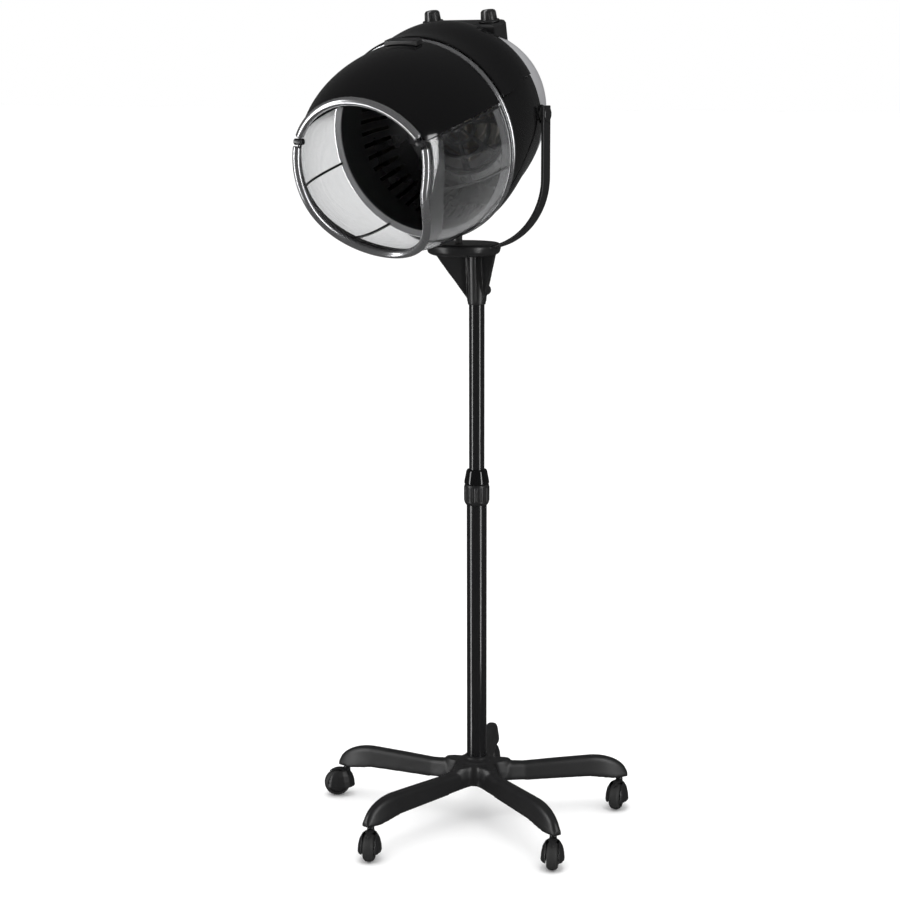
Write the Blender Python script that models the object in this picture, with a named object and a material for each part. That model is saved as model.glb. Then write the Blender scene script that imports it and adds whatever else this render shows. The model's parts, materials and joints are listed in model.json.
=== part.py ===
"""Hood hair dryer on a telescopic stand with a five-star rolling base.

Metres, +Z up. The origin is on the column's axis at floor level, and the hood opens towards -Y.
The stand is modelled at a middle height; the hood is tipped HOOD_TILT below the horizontal.
"""

from math import atan2, cos, degrees, pi, radians, sin, sqrt

import bmesh
import bpy
from mathutils import Matrix, Vector

# ---------------------------------------------------------------- driving dimensions
TOUCH = 0.0003            # gap between pieces that rest on each other
RUN = 0.0005              # radial clearance of a faceted piece that turns or slides in another

# Star base
ARM_COUNT = 5
BASE_TURN = radians(111.7)  # direction of the first arm, counter-clockwise from +X
STEM_CIRCLE = 0.260       # radius of the circle of the caster stems
ARM_TOP = 0.098
ARM_DEPTH = 0.036
ARM_WIDTH_TOP = 0.019
ARM_WIDTH_FOOT = 0.029
ARM_WALL = 0.003
ARM_NOSE = 0.014          # how far an arm runs on past its stem
HUB_TOP = 0.108
HUB_RADIUS = 0.036
HUB_NECK = 0.0055         # height of the sleeve round the tube

# Casters
WHEEL_RADIUS = 0.0235
WHEEL_WIDTH = 0.0195
CASTER_TRAIL = 0.018
FORK_WIDTH = 0.041
FORK_RADIUS = 0.0285
STEM_RADIUS = 0.0050
AXLE_RADIUS = 0.0030
CASTER_TURNS = (-150, -140, -67, -67, -81)  # directions in which the wheels trail, from +X

# Column
LOWER_TUBE_RADIUS = 0.0173
UPPER_TUBE_RADIUS = 0.0132
TUBE_WALL = 0.0015
LOWER_TUBE_FOOT = 0.0700
COLLAR_FOOT = 0.563
COLLAR_RADIUS = 0.0220
GRIP_HEIGHT = 0.0365
CONE_HEIGHT = 0.0245
UPPER_TUBE_HIDDEN = 0.205  # length of the upper tube inside the lower one
BOSS_FOOT = 0.907

# Yoke
PIVOT_FORWARD = 0.048     # the pivot axis lies this far in front of the column
PIVOT_HEIGHT = 1.2258
YOKE_GAP = 0.299          # between the inner faces of the arms
YOKE_STRAP = 0.0055
YOKE_ARM_WIDTH = 0.026
YOKE_CORNER = 0.120       # outer radius of the U
YOKE_ARC_HEIGHT = 1.125   # height at which the arms leave the vertical
DISH_RADIUS = 0.0625
DISH_TOP = 1.0145
DISH_DEPTH = 0.0205
BOSS_RADIUS_TOP = 0.0178
BOSS_RADIUS_FOOT = 0.0152
PIVOT_BOLT_RADIUS = 0.0038

# Hood. A station is a distance along the hood's axis, forwards from the column plane.
HOOD_TILT = radians(13.2)
AXIS_DROP = 0.011         # the shells' axis passes this far below the pivot
PIVOT_STATION = 0.047
HOOD_RADIUS = 0.160
SHELL_WALL = 0.003
RING_STATION = 0.1820
RING_WIDTH = 0.0110
RING_PROUD = 0.0018
FRONT_BULGE = 0.238       # reach of the front shell's curve beyond the ring
FRONT_POWER = 2.4
REAR_BULGE = 0.298
REAR_POWER = 1.9
REAR_RADIUS = 0.159
REAR_LIFT = 0.0130        # the rear's own axis lies this far above the front's
REAR_SPLIT = 0.041        # station between the rear shell and the rear cover
BACK_STATION = -0.070
SEAM_ANGLE = 23.0         # degrees above the horizontal of the visor's top edges
COVER_PROUD = 0.006
HINGE_HEIGHT = 0.039      # of the visor's hinges above the shells' axis
OPENING_STATION = 0.3668  # of the opening's edge at the hinges
OPENING_LEAN = 0.155      # how much further forward the edge runs per metre of height
RIM_BEAD = 0.0130
RIM_PROUD = 0.0018        # how far outside the shell's surface the rim's centre lies
RIM_LIP = 0.024
RIB_ANGLES = (193.5, 241.0, 299.0, 346.5)
RIB_WIDTH = 0.0032
BAND_WIDTH = 0.0110
LINER_MOUTH = 0.1475
LINER_FLOOR_RADIUS = 0.098
LINER_FLOOR = 0.064
LINER_SLOTS = 24

# Controls
KNOB_RADIUS = 0.0130
KNOB_HEIGHT = 0.0185
KNOB_SPACING = 0.104
PANEL_STATION = 0.0190
PANEL_TOP = 0.1540
PANEL_LENGTH = 0.142
PANEL_DEPTH = 0.0420
SPINDLE_RADIUS = 0.0030


# ---------------------------------------------------------------- scene helpers
def clear_scene():
    for thing in list(bpy.data.objects):
        bpy.data.objects.remove(thing, do_unlink=True)


def material(name, colour, roughness, metallic=0.0, transmission=0.0):
    made = bpy.data.materials.new(name)
    made.use_nodes = True
    shader = made.node_tree.nodes["Principled BSDF"]
    shader.inputs["Base Color"].default_value = (*colour, 1.0)
    shader.inputs["Roughness"].default_value = roughness
    shader.inputs["Metallic"].default_value = metallic
    shader.inputs["Transmission Weight"].default_value = transmission
    return made


def frame(name, location, rotation=(0, 0, 0), parent=None):
    empty = bpy.data.objects.new(name, None)
    bpy.context.scene.collection.objects.link(empty)
    empty.parent = parent
    empty.location = location
    empty.rotation_euler = rotation
    return empty


def add(name, mesh, look, parent=None, smooth=35):
    """An object from a bmesh, with its faces turned outwards and round faces shaded smooth."""
    bmesh.ops.recalc_face_normals(mesh, faces=mesh.faces)
    data = bpy.data.meshes.new(name)
    mesh.to_mesh(data)
    mesh.free()
    piece = bpy.data.objects.new(name, data)
    bpy.context.scene.collection.objects.link(piece)
    piece.parent = parent
    data.shade_smooth()
    data.set_sharp_from_angle(angle=radians(smooth))
    if look:
        data.materials.append(look)
    return piece


def hide_operand(piece):
    piece.hide_render = True
    piece.display_type = "WIRE"


def boolean(piece, operation, *others):
    for number, other in enumerate(others):
        step = piece.modifiers.new(f"{operation.lower()}_{number}", "BOOLEAN")
        step.operation = operation
        step.solver = "EXACT"
        step.object = other
        hide_operand(other)
    return piece


def cut(piece, *others):
    return boolean(piece, "DIFFERENCE", *others)


def join(piece, *others):
    return boolean(piece, "UNION", *others)


# ---------------------------------------------------------------- mesh helpers
def turned(outline, sides=32, close=True):
    """A body of revolution about Z. The outline is (radius, height) points; a radius of 0 is a pole."""
    mesh = bmesh.new()
    rings = []
    for radius, height in outline:
        if radius == 0:
            rings.append([mesh.verts.new((0, 0, height))])
            continue
        turn = [2 * pi * k / sides for k in range(sides)]
        rings.append([mesh.verts.new((radius * cos(a), radius * sin(a), height)) for a in turn])
    pairs = list(zip(rings, rings[1:]))
    if close:
        pairs.append((rings[-1], rings[0]))
    for lower, upper in pairs:
        for k in range(sides):
            n = (k + 1) % sides
            corners = [lower[k % len(lower)], lower[n % len(lower)], upper[n % len(upper)], upper[k % len(upper)]]
            corners = list(dict.fromkeys(corners))
            if len(corners) > 2:
                mesh.faces.new(corners)
    return mesh


def rod(radius, low, high, sides=24):
    return turned([(0, low), (radius, low), (radius, high), (0, high)], sides, close=False)


def pipe(outer, inner, low, high, sides=32):
    return turned([(outer, low), (outer, high), (inner, high), (inner, low)], sides)


def block(low, high):
    mesh = bmesh.new()
    bmesh.ops.create_cube(mesh, size=1)
    size = Vector(high) - Vector(low)
    middle = (Vector(high) + Vector(low)) / 2
    bmesh.ops.transform(mesh, matrix=Matrix.Translation(middle) @ Matrix.Diagonal((*size, 1)), verts=mesh.verts)
    return mesh


def moved(mesh, *steps):
    """The mesh after the given matrices, the last one first."""
    matrix = Matrix.Identity(4)
    for step in steps:
        matrix = matrix @ step
    bmesh.ops.transform(mesh, matrix=matrix, verts=mesh.verts)
    return mesh


def shift(x, y, z):
    return Matrix.Translation((x, y, z))


def spin(angle, axis="Z"):
    return Matrix.Rotation(angle, 4, axis)


def wrapped(points):
    """The convex hull of points."""
    mesh = bmesh.new()
    for point in points:
        mesh.verts.new(point)
    found = bmesh.ops.convex_hull(mesh, input=mesh.verts)
    inside = [g for g in found["geom_interior"] if isinstance(g, bmesh.types.BMVert)]
    bmesh.ops.delete(mesh, geom=inside, context="VERTS")
    return mesh


def lofted(sections):
    """A closed body through rings of points that correspond, with flat ends."""
    mesh = bmesh.new()
    rings = [[mesh.verts.new(point) for point in section] for section in sections]
    for first, second in zip(rings, rings[1:]):
        for k in range(len(first)):
            n = (k + 1) % len(first)
            mesh.faces.new([first[k], first[n], second[n], second[k]])
    mesh.faces.new(rings[0])
    mesh.faces.new(rings[-1])
    return mesh


def lattice(place, columns, rows, kept=None, closed=False):
    """A wall of cells with a thickness. place(column, row, side) gives a corner, side 0 outside and 1 inside.

    Cells for which kept(column, row) is false are left open, with walls round them.
    """
    mesh = bmesh.new()
    grid = {}

    def corner(i, j, side):
        i = i % columns if closed else i
        if (i, j, side) not in grid:
            grid[i, j, side] = mesh.verts.new(place(i, j, side))
        return grid[i, j, side]

    def solid(i, j):
        if closed:
            i %= columns
        inside = 0 <= i < columns and 0 <= j < rows
        return inside and (kept is None or kept(i, j))

    for i in range(columns):
        for j in range(rows):
            if not solid(i, j):
                continue
            ends = [(i, j), (i + 1, j), (i + 1, j + 1), (i, j + 1)]
            for side in (0, 1):
                mesh.faces.new([corner(*end, side) for end in ends])
            beyond = [(i, j - 1), (i + 1, j), (i, j + 1), (i - 1, j)]
            for k, cell in enumerate(beyond):
                if not solid(*cell):
                    a, b = ends[k], ends[(k + 1) % 4]
                    mesh.faces.new([corner(*a, 0), corner(*b, 0), corner(*b, 1), corner(*a, 1)])
    return mesh


def swept(path, section, closed=False):
    """A tube along path. section(k) gives the ring of points round path point k."""
    rings = [section(k) for k in range(len(path))]
    if not closed:
        return lofted(rings)
    mesh = bmesh.new()
    made = [[mesh.verts.new(point) for point in ring] for ring in rings]
    for first, second in zip(made, made[1:] + made[:1]):
        for k in range(len(first)):
            n = (k + 1) % len(first)
            mesh.faces.new([first[k], first[n], second[n], second[k]])
    return mesh


def spread(first, last, count):
    return [first + (last - first) * k / count for k in range(count + 1)]


# ---------------------------------------------------------------- materials
def make_looks():
    return {
        "gloss_black": material("gloss_black_plastic", (0.012, 0.012, 0.013), 0.12),
        "satin_black": material("satin_black_plastic", (0.030, 0.030, 0.032), 0.42),
        "liner_black": material("liner_black_plastic", (0.015, 0.015, 0.016), 0.45),
        "painted": material("painted_tube", (0.020, 0.020, 0.021), 0.30, 0.3),
        "silver": material("silver_trim", (0.70, 0.70, 0.70), 0.22, 1.0),
        "steel": material("zinc_plated_steel", (0.55, 0.55, 0.56), 0.32, 1.0),
        "clear": material("clear_visor", (0.86, 0.87, 0.88), 0.03, 0.0, 1.0),
        "grey": material("grey_plastic", (0.22, 0.22, 0.23), 0.35),
        "rubber": material("caster_rubber", (0.022, 0.022, 0.022), 0.62),
        "mica": material("mica_board", (0.55, 0.50, 0.42), 0.60),
        "wire": material("heater_wire", (0.42, 0.38, 0.34), 0.35, 1.0),
        "nylon": material("white_nylon", (0.70, 0.69, 0.66), 0.50),
    }


# ---------------------------------------------------------------- star base and casters
def arm_section(reach, top, foot, half_top, half_foot):
    """Ring of points across an arm that runs along +X: sloping sides, rounded shoulders, crowned top."""
    depth = top - foot
    shoulder = min(0.006, depth * 0.35)
    half = [
        (half_foot, foot),
        (half_top + 0.0022, top - shoulder),
        (half_top, top - shoulder * 0.35),
        (half_top * 0.72, top - shoulder * 0.06),
    ]
    ring = half + [(0, top)] + [(-y, z) for y, z in reversed(half)]
    return [(reach, y, z) for y, z in ring]


def arm_profile():
    """(reach, top, foot, half width at the top, half width at the foot) along an arm."""
    foot = ARM_TOP - ARM_DEPTH
    tip = STEM_CIRCLE + ARM_NOSE
    top_half, foot_half = ARM_WIDTH_TOP / 2, ARM_WIDTH_FOOT / 2
    drop = ARM_DEPTH + 0.007
    stations = [
        (0.012, ARM_TOP + 0.004, foot + 0.004, top_half * 1.25, foot_half * 1.15),
        (0.060, ARM_TOP - 0.001, foot + 0.004, top_half * 1.10, foot_half * 1.10),
        (0.085, ARM_TOP - 0.003, foot + 0.002, top_half, foot_half),
        (0.205, ARM_TOP, foot, top_half, foot_half),
    ]
    for share in (0.3, 0.6, 0.84, 1.0):
        reach = 0.205 + (tip - 0.205) * share
        fall = drop * (1 - sqrt(1 - (0.985 * share) ** 2))
        low = foot - 0.007 * min(1.0, share * 1.6)
        narrow = 1 - 0.50 * share ** 3
        top = max(ARM_TOP - fall * 0.95, low + 0.006)
        stations.append((reach, top, low, top_half * narrow, foot_half * narrow))
    return stations


def star_base(looks):
    foot = ARM_TOP - ARM_DEPTH
    sections = [arm_section(*station) for station in arm_profile()]
    hub = add("star_base", turned([
        (0.0, foot + 0.0031), (HUB_RADIUS - 0.002, foot + 0.0031), (HUB_RADIUS, foot + 0.010),
        (HUB_RADIUS - 0.002, HUB_TOP - 0.004), (HUB_RADIUS - 0.007, HUB_TOP),
        (LOWER_TUBE_RADIUS + 0.0034, HUB_TOP + 0.0005), (LOWER_TUBE_RADIUS + 0.0028, HUB_TOP + HUB_NECK),
        (0.0, HUB_TOP + HUB_NECK)], 30, close=False), looks["satin_black"])
    web = []
    for layer, shrink in ((foot + 0.006, 1.0), (HUB_TOP - 0.0042, 0.84)):
        ring = []
        for k in range(ARM_COUNT):
            middle = BASE_TURN + 2 * pi * k / ARM_COUNT
            for turn, reach in ((-0.17, 0.070), (0.17, 0.070), (0.42, 0.047), (0.628, 0.041), (0.837, 0.047)):
                ring.append((reach * shrink * cos(middle + turn), reach * shrink * sin(middle + turn), layer))
        web.append(ring)
    parts = [add("base_web", lofted(web), None)]
    hollows = []
    for k in range(ARM_COUNT):
        turn = spin(BASE_TURN + 2 * pi * k / ARM_COUNT)
        parts.append(add(f"arm_{k}", moved(lofted(sections), turn), None))
        inner = [
            arm_section(reach + 0.0011, top - ARM_WALL, low - 0.0093, half_top - ARM_WALL * 0.6, half_foot - ARM_WALL)
            for reach, top, low, half_top, half_foot in arm_profile()[2:6]
        ]
        inner[-1] = [(STEM_CIRCLE - 0.0135, y, z) for _, y, z in inner[-1]]
        hollows.append(add(f"arm_hollow_{k}", moved(lofted(inner), turn), None))
        hole = moved(rod(STEM_RADIUS + RUN, 0, foot + 0.0105, 16), turn, shift(STEM_CIRCLE, 0, 0))
        hollows.append(add(f"stem_hole_{k}", hole, None))
    wide = LOWER_TUBE_RADIUS + TOUCH
    bore = add("base_bore", moved(turned([
        (0, 0.03), (0.0036, 0.03), (0.0036, LOWER_TUBE_FOOT), (wide, LOWER_TUBE_FOOT), (wide, HUB_TOP + 0.05),
        (0, HUB_TOP + 0.05)], 32, close=False), spin(radians(3))), None)
    join(hub, *parts)
    cut(hub, bore, *hollows)


def caster(number, looks):
    foot = ARM_TOP - ARM_DEPTH - 0.007
    direction = BASE_TURN + 2 * pi * (number - 1) / ARM_COUNT
    at = (STEM_CIRCLE * cos(direction), STEM_CIRCLE * sin(direction), 0)
    pivot = frame(f"caster_frame_{number}", at, (0, 0, radians(CASTER_TURNS[number - 1])))
    axle_height = WHEEL_RADIUS
    across = (shift(CASTER_TRAIL, 0, axle_height), spin(pi / 2, "X"))
    hood_top = foot - 0.0035
    rise = hood_top - 0.020
    outline = [(0, -1), (1.0, -1), (1.0, -0.2), (0.95, 0.25), (0.84, 0.58), (0.62, 0.84), (0.34, 0.96), (0, 1)]
    body = turned(outline, 14, close=False)
    squash = Matrix.Diagonal((FORK_RADIUS, FORK_WIDTH / 2, rise, 1))
    fork = add(f"caster_fork_{number}", moved(body, shift(CASTER_TRAIL * 0.78, 0, 0.020), squash), looks["satin_black"], pivot)
    stem = add(f"caster_stem_{number}", turned([
        (0, hood_top - 0.012), (0.0062, hood_top - 0.012), (0.0062, foot - 0.0008),
        (STEM_RADIUS, foot - 0.0008), (STEM_RADIUS, foot + 0.0155), (0, foot + 0.0155)], 12, close=False), None, pivot)
    slot = add(f"caster_slot_{number}", moved(
        rod(WHEEL_RADIUS + 0.0022, -WHEEL_WIDTH / 2 - 0.0006, WHEEL_WIDTH / 2 + 0.0006, 18), *across), None, pivot)
    base_cut = add(f"caster_cut_{number}", block((-0.05, -0.04, -0.03), (0.08, 0.04, 0.0165)), None, pivot)
    hole_half = FORK_WIDTH / 2 - 0.0042
    hole = add(f"caster_bore_{number}", moved(rod(AXLE_RADIUS + 0.0004, -hole_half, hole_half, 10), *across), None, pivot)
    join(fork, stem)
    cut(fork, slot, base_cut, hole)
    half = WHEEL_WIDTH / 2
    bore = AXLE_RADIUS + RUN
    add(f"caster_wheel_{number}", moved(turned([
        (bore, -half), (WHEEL_RADIUS - 0.0045, -half), (WHEEL_RADIUS - 0.0008, -half * 0.62),
        (WHEEL_RADIUS, -half * 0.25), (WHEEL_RADIUS, half * 0.25), (WHEEL_RADIUS - 0.0008, half * 0.62),
        (WHEEL_RADIUS - 0.0045, half), (bore, half)], 20), *across), looks["rubber"], pivot)
    axle_half = hole_half - 0.0004
    add(f"caster_axle_{number}", moved(rod(AXLE_RADIUS, -axle_half, axle_half, 10), *across), looks["steel"], pivot)


# ---------------------------------------------------------------- column
def column(looks):
    grip_top = COLLAR_FOOT + GRIP_HEIGHT
    tube_top = grip_top - 0.009
    inside = LOWER_TUBE_RADIUS - TUBE_WALL
    add("lower_tube", pipe(LOWER_TUBE_RADIUS, inside, LOWER_TUBE_FOOT + TOUCH, tube_top, 32), looks["painted"])
    plug_radius = inside - TOUCH
    add("tube_foot_plug", turned([
        (0.0036, LOWER_TUBE_FOOT + TOUCH), (plug_radius, LOWER_TUBE_FOOT + TOUCH),
        (plug_radius, LOWER_TUBE_FOOT + 0.022), (0.0036, LOWER_TUBE_FOOT + 0.022)], 24), looks["steel"])
    foot = ARM_TOP - ARM_DEPTH
    add("base_bolt", turned([
        (0, foot - 0.0030), (0.0095, foot - 0.0030), (0.0095, foot + 0.0028), (0.0032, foot + 0.0028),
        (0.0032, LOWER_TUBE_FOOT + 0.021), (0, LOWER_TUBE_FOOT + 0.021)], 18, close=False), looks["steel"])
    bush_top = tube_top - 0.004
    add("tube_bush", pipe(inside - TOUCH, UPPER_TUBE_RADIUS + 0.0004, bush_top - 0.040, bush_top, 32), looks["nylon"])
    grip = turned([
        (LOWER_TUBE_RADIUS + RUN, COLLAR_FOOT), (COLLAR_RADIUS - 0.003, COLLAR_FOOT),
        (COLLAR_RADIUS, COLLAR_FOOT + 0.004), (COLLAR_RADIUS, grip_top - 0.0015),
        (COLLAR_RADIUS - 0.0015, grip_top), (UPPER_TUBE_RADIUS + RUN, grip_top),
        (UPPER_TUBE_RADIUS + RUN, tube_top + TOUCH), (LOWER_TUBE_RADIUS + RUN, tube_top + TOUCH)], 24)
    add("collar_grip", grip, looks["satin_black"])
    cone_foot = grip_top + TOUCH
    cone_top = cone_foot + CONE_HEIGHT
    add("collar_cone", turned([
        (UPPER_TUBE_RADIUS + RUN, cone_foot), (COLLAR_RADIUS - 0.0006, cone_foot),
        (COLLAR_RADIUS - 0.0006, cone_foot + 0.003), (UPPER_TUBE_RADIUS + 0.0046, cone_top - 0.002),
        (UPPER_TUBE_RADIUS + 0.0032, cone_top), (UPPER_TUBE_RADIUS + RUN, cone_top)], 24), looks["gloss_black"])
    low = tube_top - UPPER_TUBE_HIDDEN
    top = DISH_TOP - DISH_DEPTH - 0.012
    add("upper_tube", pipe(UPPER_TUBE_RADIUS, UPPER_TUBE_RADIUS - TUBE_WALL, low, top, 32), looks["painted"])
    neck = UPPER_TUBE_RADIUS - TUBE_WALL - TOUCH
    add("tube_end_plug", turned([
        (0, low - 0.010), (inside - RUN, low - 0.010), (inside - RUN, low - TOUCH), (neck, low - TOUCH),
        (neck, low + 0.014), (0, low + 0.014)], 24, close=False), looks["nylon"])


# ---------------------------------------------------------------- yoke
def yoke(looks):
    inner = YOKE_GAP / 2
    outer = inner + YOKE_STRAP
    centre = outer - YOKE_CORNER
    middle = YOKE_CORNER - YOKE_STRAP / 2
    dish_foot = DISH_TOP - DISH_DEPTH
    forward = -PIVOT_FORWARD
    bore = UPPER_TUBE_RADIUS + RUN
    dish = turned([
        (0, dish_foot), (DISH_RADIUS - 0.007, dish_foot), (DISH_RADIUS - 0.0015, dish_foot + 0.0025),
        (DISH_RADIUS, DISH_TOP - 0.004), (DISH_RADIUS - 0.0035, DISH_TOP), (0, DISH_TOP)], 32, close=False)
    body = add("yoke", moved(dish, shift(0, forward + 0.003, 0)), looks["satin_black"])
    parts = []
    for side in (-1, 1):
        path = [(inner + YOKE_STRAP / 2, PIVOT_HEIGHT + YOKE_ARM_WIDTH * 0.52)]
        for k in range(8):
            angle = radians(11.0 * k)
            path.append((centre + middle * cos(angle), YOKE_ARC_HEIGHT - middle * sin(angle)))
        rings = []
        for k, (x, z) in enumerate(path):
            ahead = Vector(path[min(k + 1, len(path) - 1)]) - Vector(path[max(k - 1, 0)])
            normal = Vector((-ahead.y, ahead.x)).normalized() * (YOKE_STRAP / 2)
            wide = YOKE_ARM_WIDTH / 2
            edge = wide - 0.0015
            rings.append([
                (side * (x + normal.x * a), forward + b, z + normal.y * a)
                for a, b in ((1, -edge), (0.4, -wide), (-0.4, -wide), (-1, -edge),
                             (-1, edge), (-0.4, wide), (0.4, wide), (1, edge))])
        parts.append(add(f"yoke_arm_{side}", lofted(rings), None))
    for side in (-1, 1):
        fin = [(DISH_RADIUS - 0.0031, forward + 0.0041, dish_foot + 0.0043), (0.010, -0.0061, dish_foot + 0.0043),
               (BOSS_RADIUS_FOOT + 0.0045, -0.0011, BOSS_FOOT + 0.0161),
               (BOSS_RADIUS_FOOT - 0.003, -0.0002, BOSS_FOOT + 0.0031)]
        parts.append(add(f"yoke_fin_{side}", wrapped(
            [(side * x, y + thick, z) for x, y, z in fin for thick in (-0.0026, 0.0026)]), None))
    parts.append(add("yoke_boss", turned([
        (0, BOSS_FOOT), (BOSS_RADIUS_FOOT - 0.001, BOSS_FOOT), (BOSS_RADIUS_FOOT, BOSS_FOOT + 0.002),
        (BOSS_RADIUS_TOP, dish_foot + 0.001), (BOSS_RADIUS_TOP, dish_foot + 0.006),
        (0, dish_foot + 0.006)], 24, close=False), None))
    for k in range(8):
        angle = radians(22.5 + 45 * k)
        rib = wrapped([
            (r, y, z) for y in (-0.0021, 0.0021) for r, z in (
                (0.008, BOSS_FOOT + 0.004), (BOSS_RADIUS_FOOT + 0.0010, BOSS_FOOT + 0.004),
                (BOSS_RADIUS_TOP + 0.0042, dish_foot + 0.003), (0.008, dish_foot + 0.003))])
        parts.append(add(f"yoke_rib_{k}", moved(rib, spin(angle)), None))
    join(body, *parts)
    hollow = add("yoke_bore", rod(bore, 0.5, dish_foot - 0.0112, 32), None)
    thin, step = PIVOT_BOLT_RADIUS + RUN, outer - 0.0030
    bolts = add("yoke_pivot_holes", moved(turned([
        (0, -0.3), (0.0085, -0.3), (0.0085, -step), (thin, -step), (thin, step), (0.0085, step), (0.0085, 0.3),
        (0, 0.3)], 24, close=False), shift(0, forward, PIVOT_HEIGHT), spin(pi / 2, "Y")), None)
    screw_height = BOSS_FOOT + 0.022
    screw_hole = add("yoke_screw_hole", moved(rod(0.0034, 0.005, 0.05, 16), shift(0, 0, screw_height), spin(-pi / 2, "X")), None)
    stop_hole = add("yoke_stop_hole", moved(
        rod(0.0026, DISH_TOP - 0.008, DISH_TOP + 0.01, 14), shift(0, forward - 0.014, 0)), None)
    cut(body, hollow, stop_hole, screw_hole, bolts)
    tip = UPPER_TUBE_RADIUS + TOUCH
    add("yoke_clamp_screw", moved(turned([
        (0, tip), (0.0029, tip), (0.0029, 0.0245), (0.0085, 0.0250), (0.0090, 0.0270),
        (0.0088, 0.0350), (0.0070, 0.0370), (0, 0.0370)], 20, close=False),
        shift(0, 0, screw_height), spin(-pi / 2, "X")), looks["satin_black"])
    add("tilt_buffer", moved(turned([
        (0, DISH_TOP - 0.0075), (0.0022, DISH_TOP - 0.0075), (0.0022, DISH_TOP + TOUCH),
        (0.0060, DISH_TOP + TOUCH), (0.0060, DISH_TOP + 0.0125), (0.0050, DISH_TOP + 0.0140),
        (0, DISH_TOP + 0.0140)], 18, close=False), shift(0, forward - 0.014, 0)), looks["rubber"])
    for side, name in ((-1, "left"), (1, "right")):
        across = (shift(0, forward, PIVOT_HEIGHT), spin(side * pi / 2, "Y"))
        add(f"pivot_bolt_{name}", moved(turned([
            (0, inner - 0.020), (PIVOT_BOLT_RADIUS, inner - 0.020), (PIVOT_BOLT_RADIUS, outer - 0.0028),
            (0.0080, outer - 0.0028), (0.0080, outer - 0.0004), (0, outer - 0.0004)], 20, close=False), *across),
            looks["steel"])
        add(f"pivot_cap_{name}", moved(turned([
            (0, outer + TOUCH), (0.0118, outer + TOUCH), (0.0122, outer + 0.0008), (0.0105, outer + 0.0022),
            (0.0060, outer + 0.0028), (0, outer + 0.0029)], 28, close=False), *across), looks["gloss_black"])
        add(f"pivot_washer_{name}", moved(pipe(0.0115, PIVOT_BOLT_RADIUS + RUN, inner - 0.0036, inner - 0.0004, 24),
            *across), looks["rubber"])


# ---------------------------------------------------------------- hood shape
def front_radius(station):
    beyond = max(0.0, station - (RING_STATION + 0.013)) / FRONT_BULGE
    return HOOD_RADIUS * sqrt(max(0.0, 1 - beyond ** FRONT_POWER))


def rear_radius(station):
    behind = max(0.0, RING_STATION - 0.010 - station) / REAR_BULGE
    return REAR_RADIUS * sqrt(max(0.0, 1 - behind ** REAR_POWER))


def rear_lift(station):
    """How far the rear's axis lies above the front's at a station."""
    share = min(1.0, max(0.0, (RING_STATION - 0.022 - station) / 0.085))
    return REAR_LIFT * share * share * (3 - 2 * share)


def opening_edge(height):
    """Station of the opening's edge at a height above the shells' axis, seen from the side."""
    if height >= HINGE_HEIGHT:
        return OPENING_STATION + OPENING_LEAN * (height - HINGE_HEIGHT)
    crest, peak = -0.0266, OPENING_STATION + 0.0102
    if height > crest:
        return peak - 0.0102 * ((height - crest) / (HINGE_HEIGHT - crest)) ** 1.5
    return peak - 0.0677 * ((crest - height) / 0.1227) ** 1.6


def edge_station(angle):
    """Station at which the shell's surface meets the opening's edge, at an angle in degrees."""
    station = OPENING_STATION
    for _ in range(60):
        station = (station + opening_edge(front_radius(station) * sin(radians(angle)))) / 2
    return station


def shell_end(angle):
    """Station at which the shells stop short of the rim's bead, measured square to the edge."""
    run = radians(2) * front_radius(edge_station(angle))
    slope = (edge_station(angle + 1) - edge_station(angle - 1)) / run
    return edge_station(angle) - (RIM_BEAD / 2 + 0.0005) * sqrt(1 + slope ** 2)


def on_hood(angle, station, radius):
    """A point in the hood's frame, whose origin is on the pivot axis."""
    turn = radians(angle)
    return (radius * cos(turn), PIVOT_STATION - station, radius * sin(turn) - AXIS_DROP)


def along_hood(mesh, turn=0.0):
    """A body turned about Z, laid along the hood's axis with its +Z forwards and heights as stations."""
    return moved(mesh, shift(0, PIVOT_STATION, -AXIS_DROP), spin(pi / 2, "X"), spin(turn))


def lifted(angle, station, radius):
    """A point of the rear, whose axis rises behind the ring."""
    x, y, z = on_hood(angle, station, radius)
    return (x, y, z + rear_lift(station))


def rear_turned(outline, sides, turn=0.0):
    """A closed body round the rear's axis, from (radius, station) points with a flat face at each end."""
    angles = [turn + 360 * k / sides for k in range(sides)]
    return lofted([[lifted(a, station, radius) for a in angles] for radius, station in outline])


def hood_wall(angles, back, front, rows, outside, wall, kept=None, closed=False):
    """A curved wall of the hood between two stations, which may depend on the angle."""
    def place(i, j, side):
        angle = angles[i]
        station = back(angle) + (front(angle) - back(angle)) * j / rows
        return lifted(angle, station, outside(station) - (wall if side else 0))
    columns = len(angles) if closed else len(angles) - 1
    return lattice(place, columns, rows, kept, closed)


def rim_tube(angles, thick, name, look, parent):
    """The silver bead along part of the opening's edge."""
    middles = [(a, edge_station(a)) for a in angles]
    path = [Vector(on_hood(a, s, front_radius(s) + RIM_PROUD)) for a, s in middles]

    def ring(k):
        ahead = (path[min(k + 1, len(path) - 1)] - path[max(k - 1, 0)]).normalized()
        outward = Vector((cos(radians(angles[k])), 0, sin(radians(angles[k]))))
        across = ahead.cross(outward).normalized()
        outward = across.cross(ahead).normalized()
        turns = [2 * pi * n / 8 for n in range(8)]
        return [path[k] + outward * (thick / 2 * cos(t)) + across * (thick / 2 * sin(t)) for t in turns]
    return add(name, swept(path, ring), look, parent)


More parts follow.
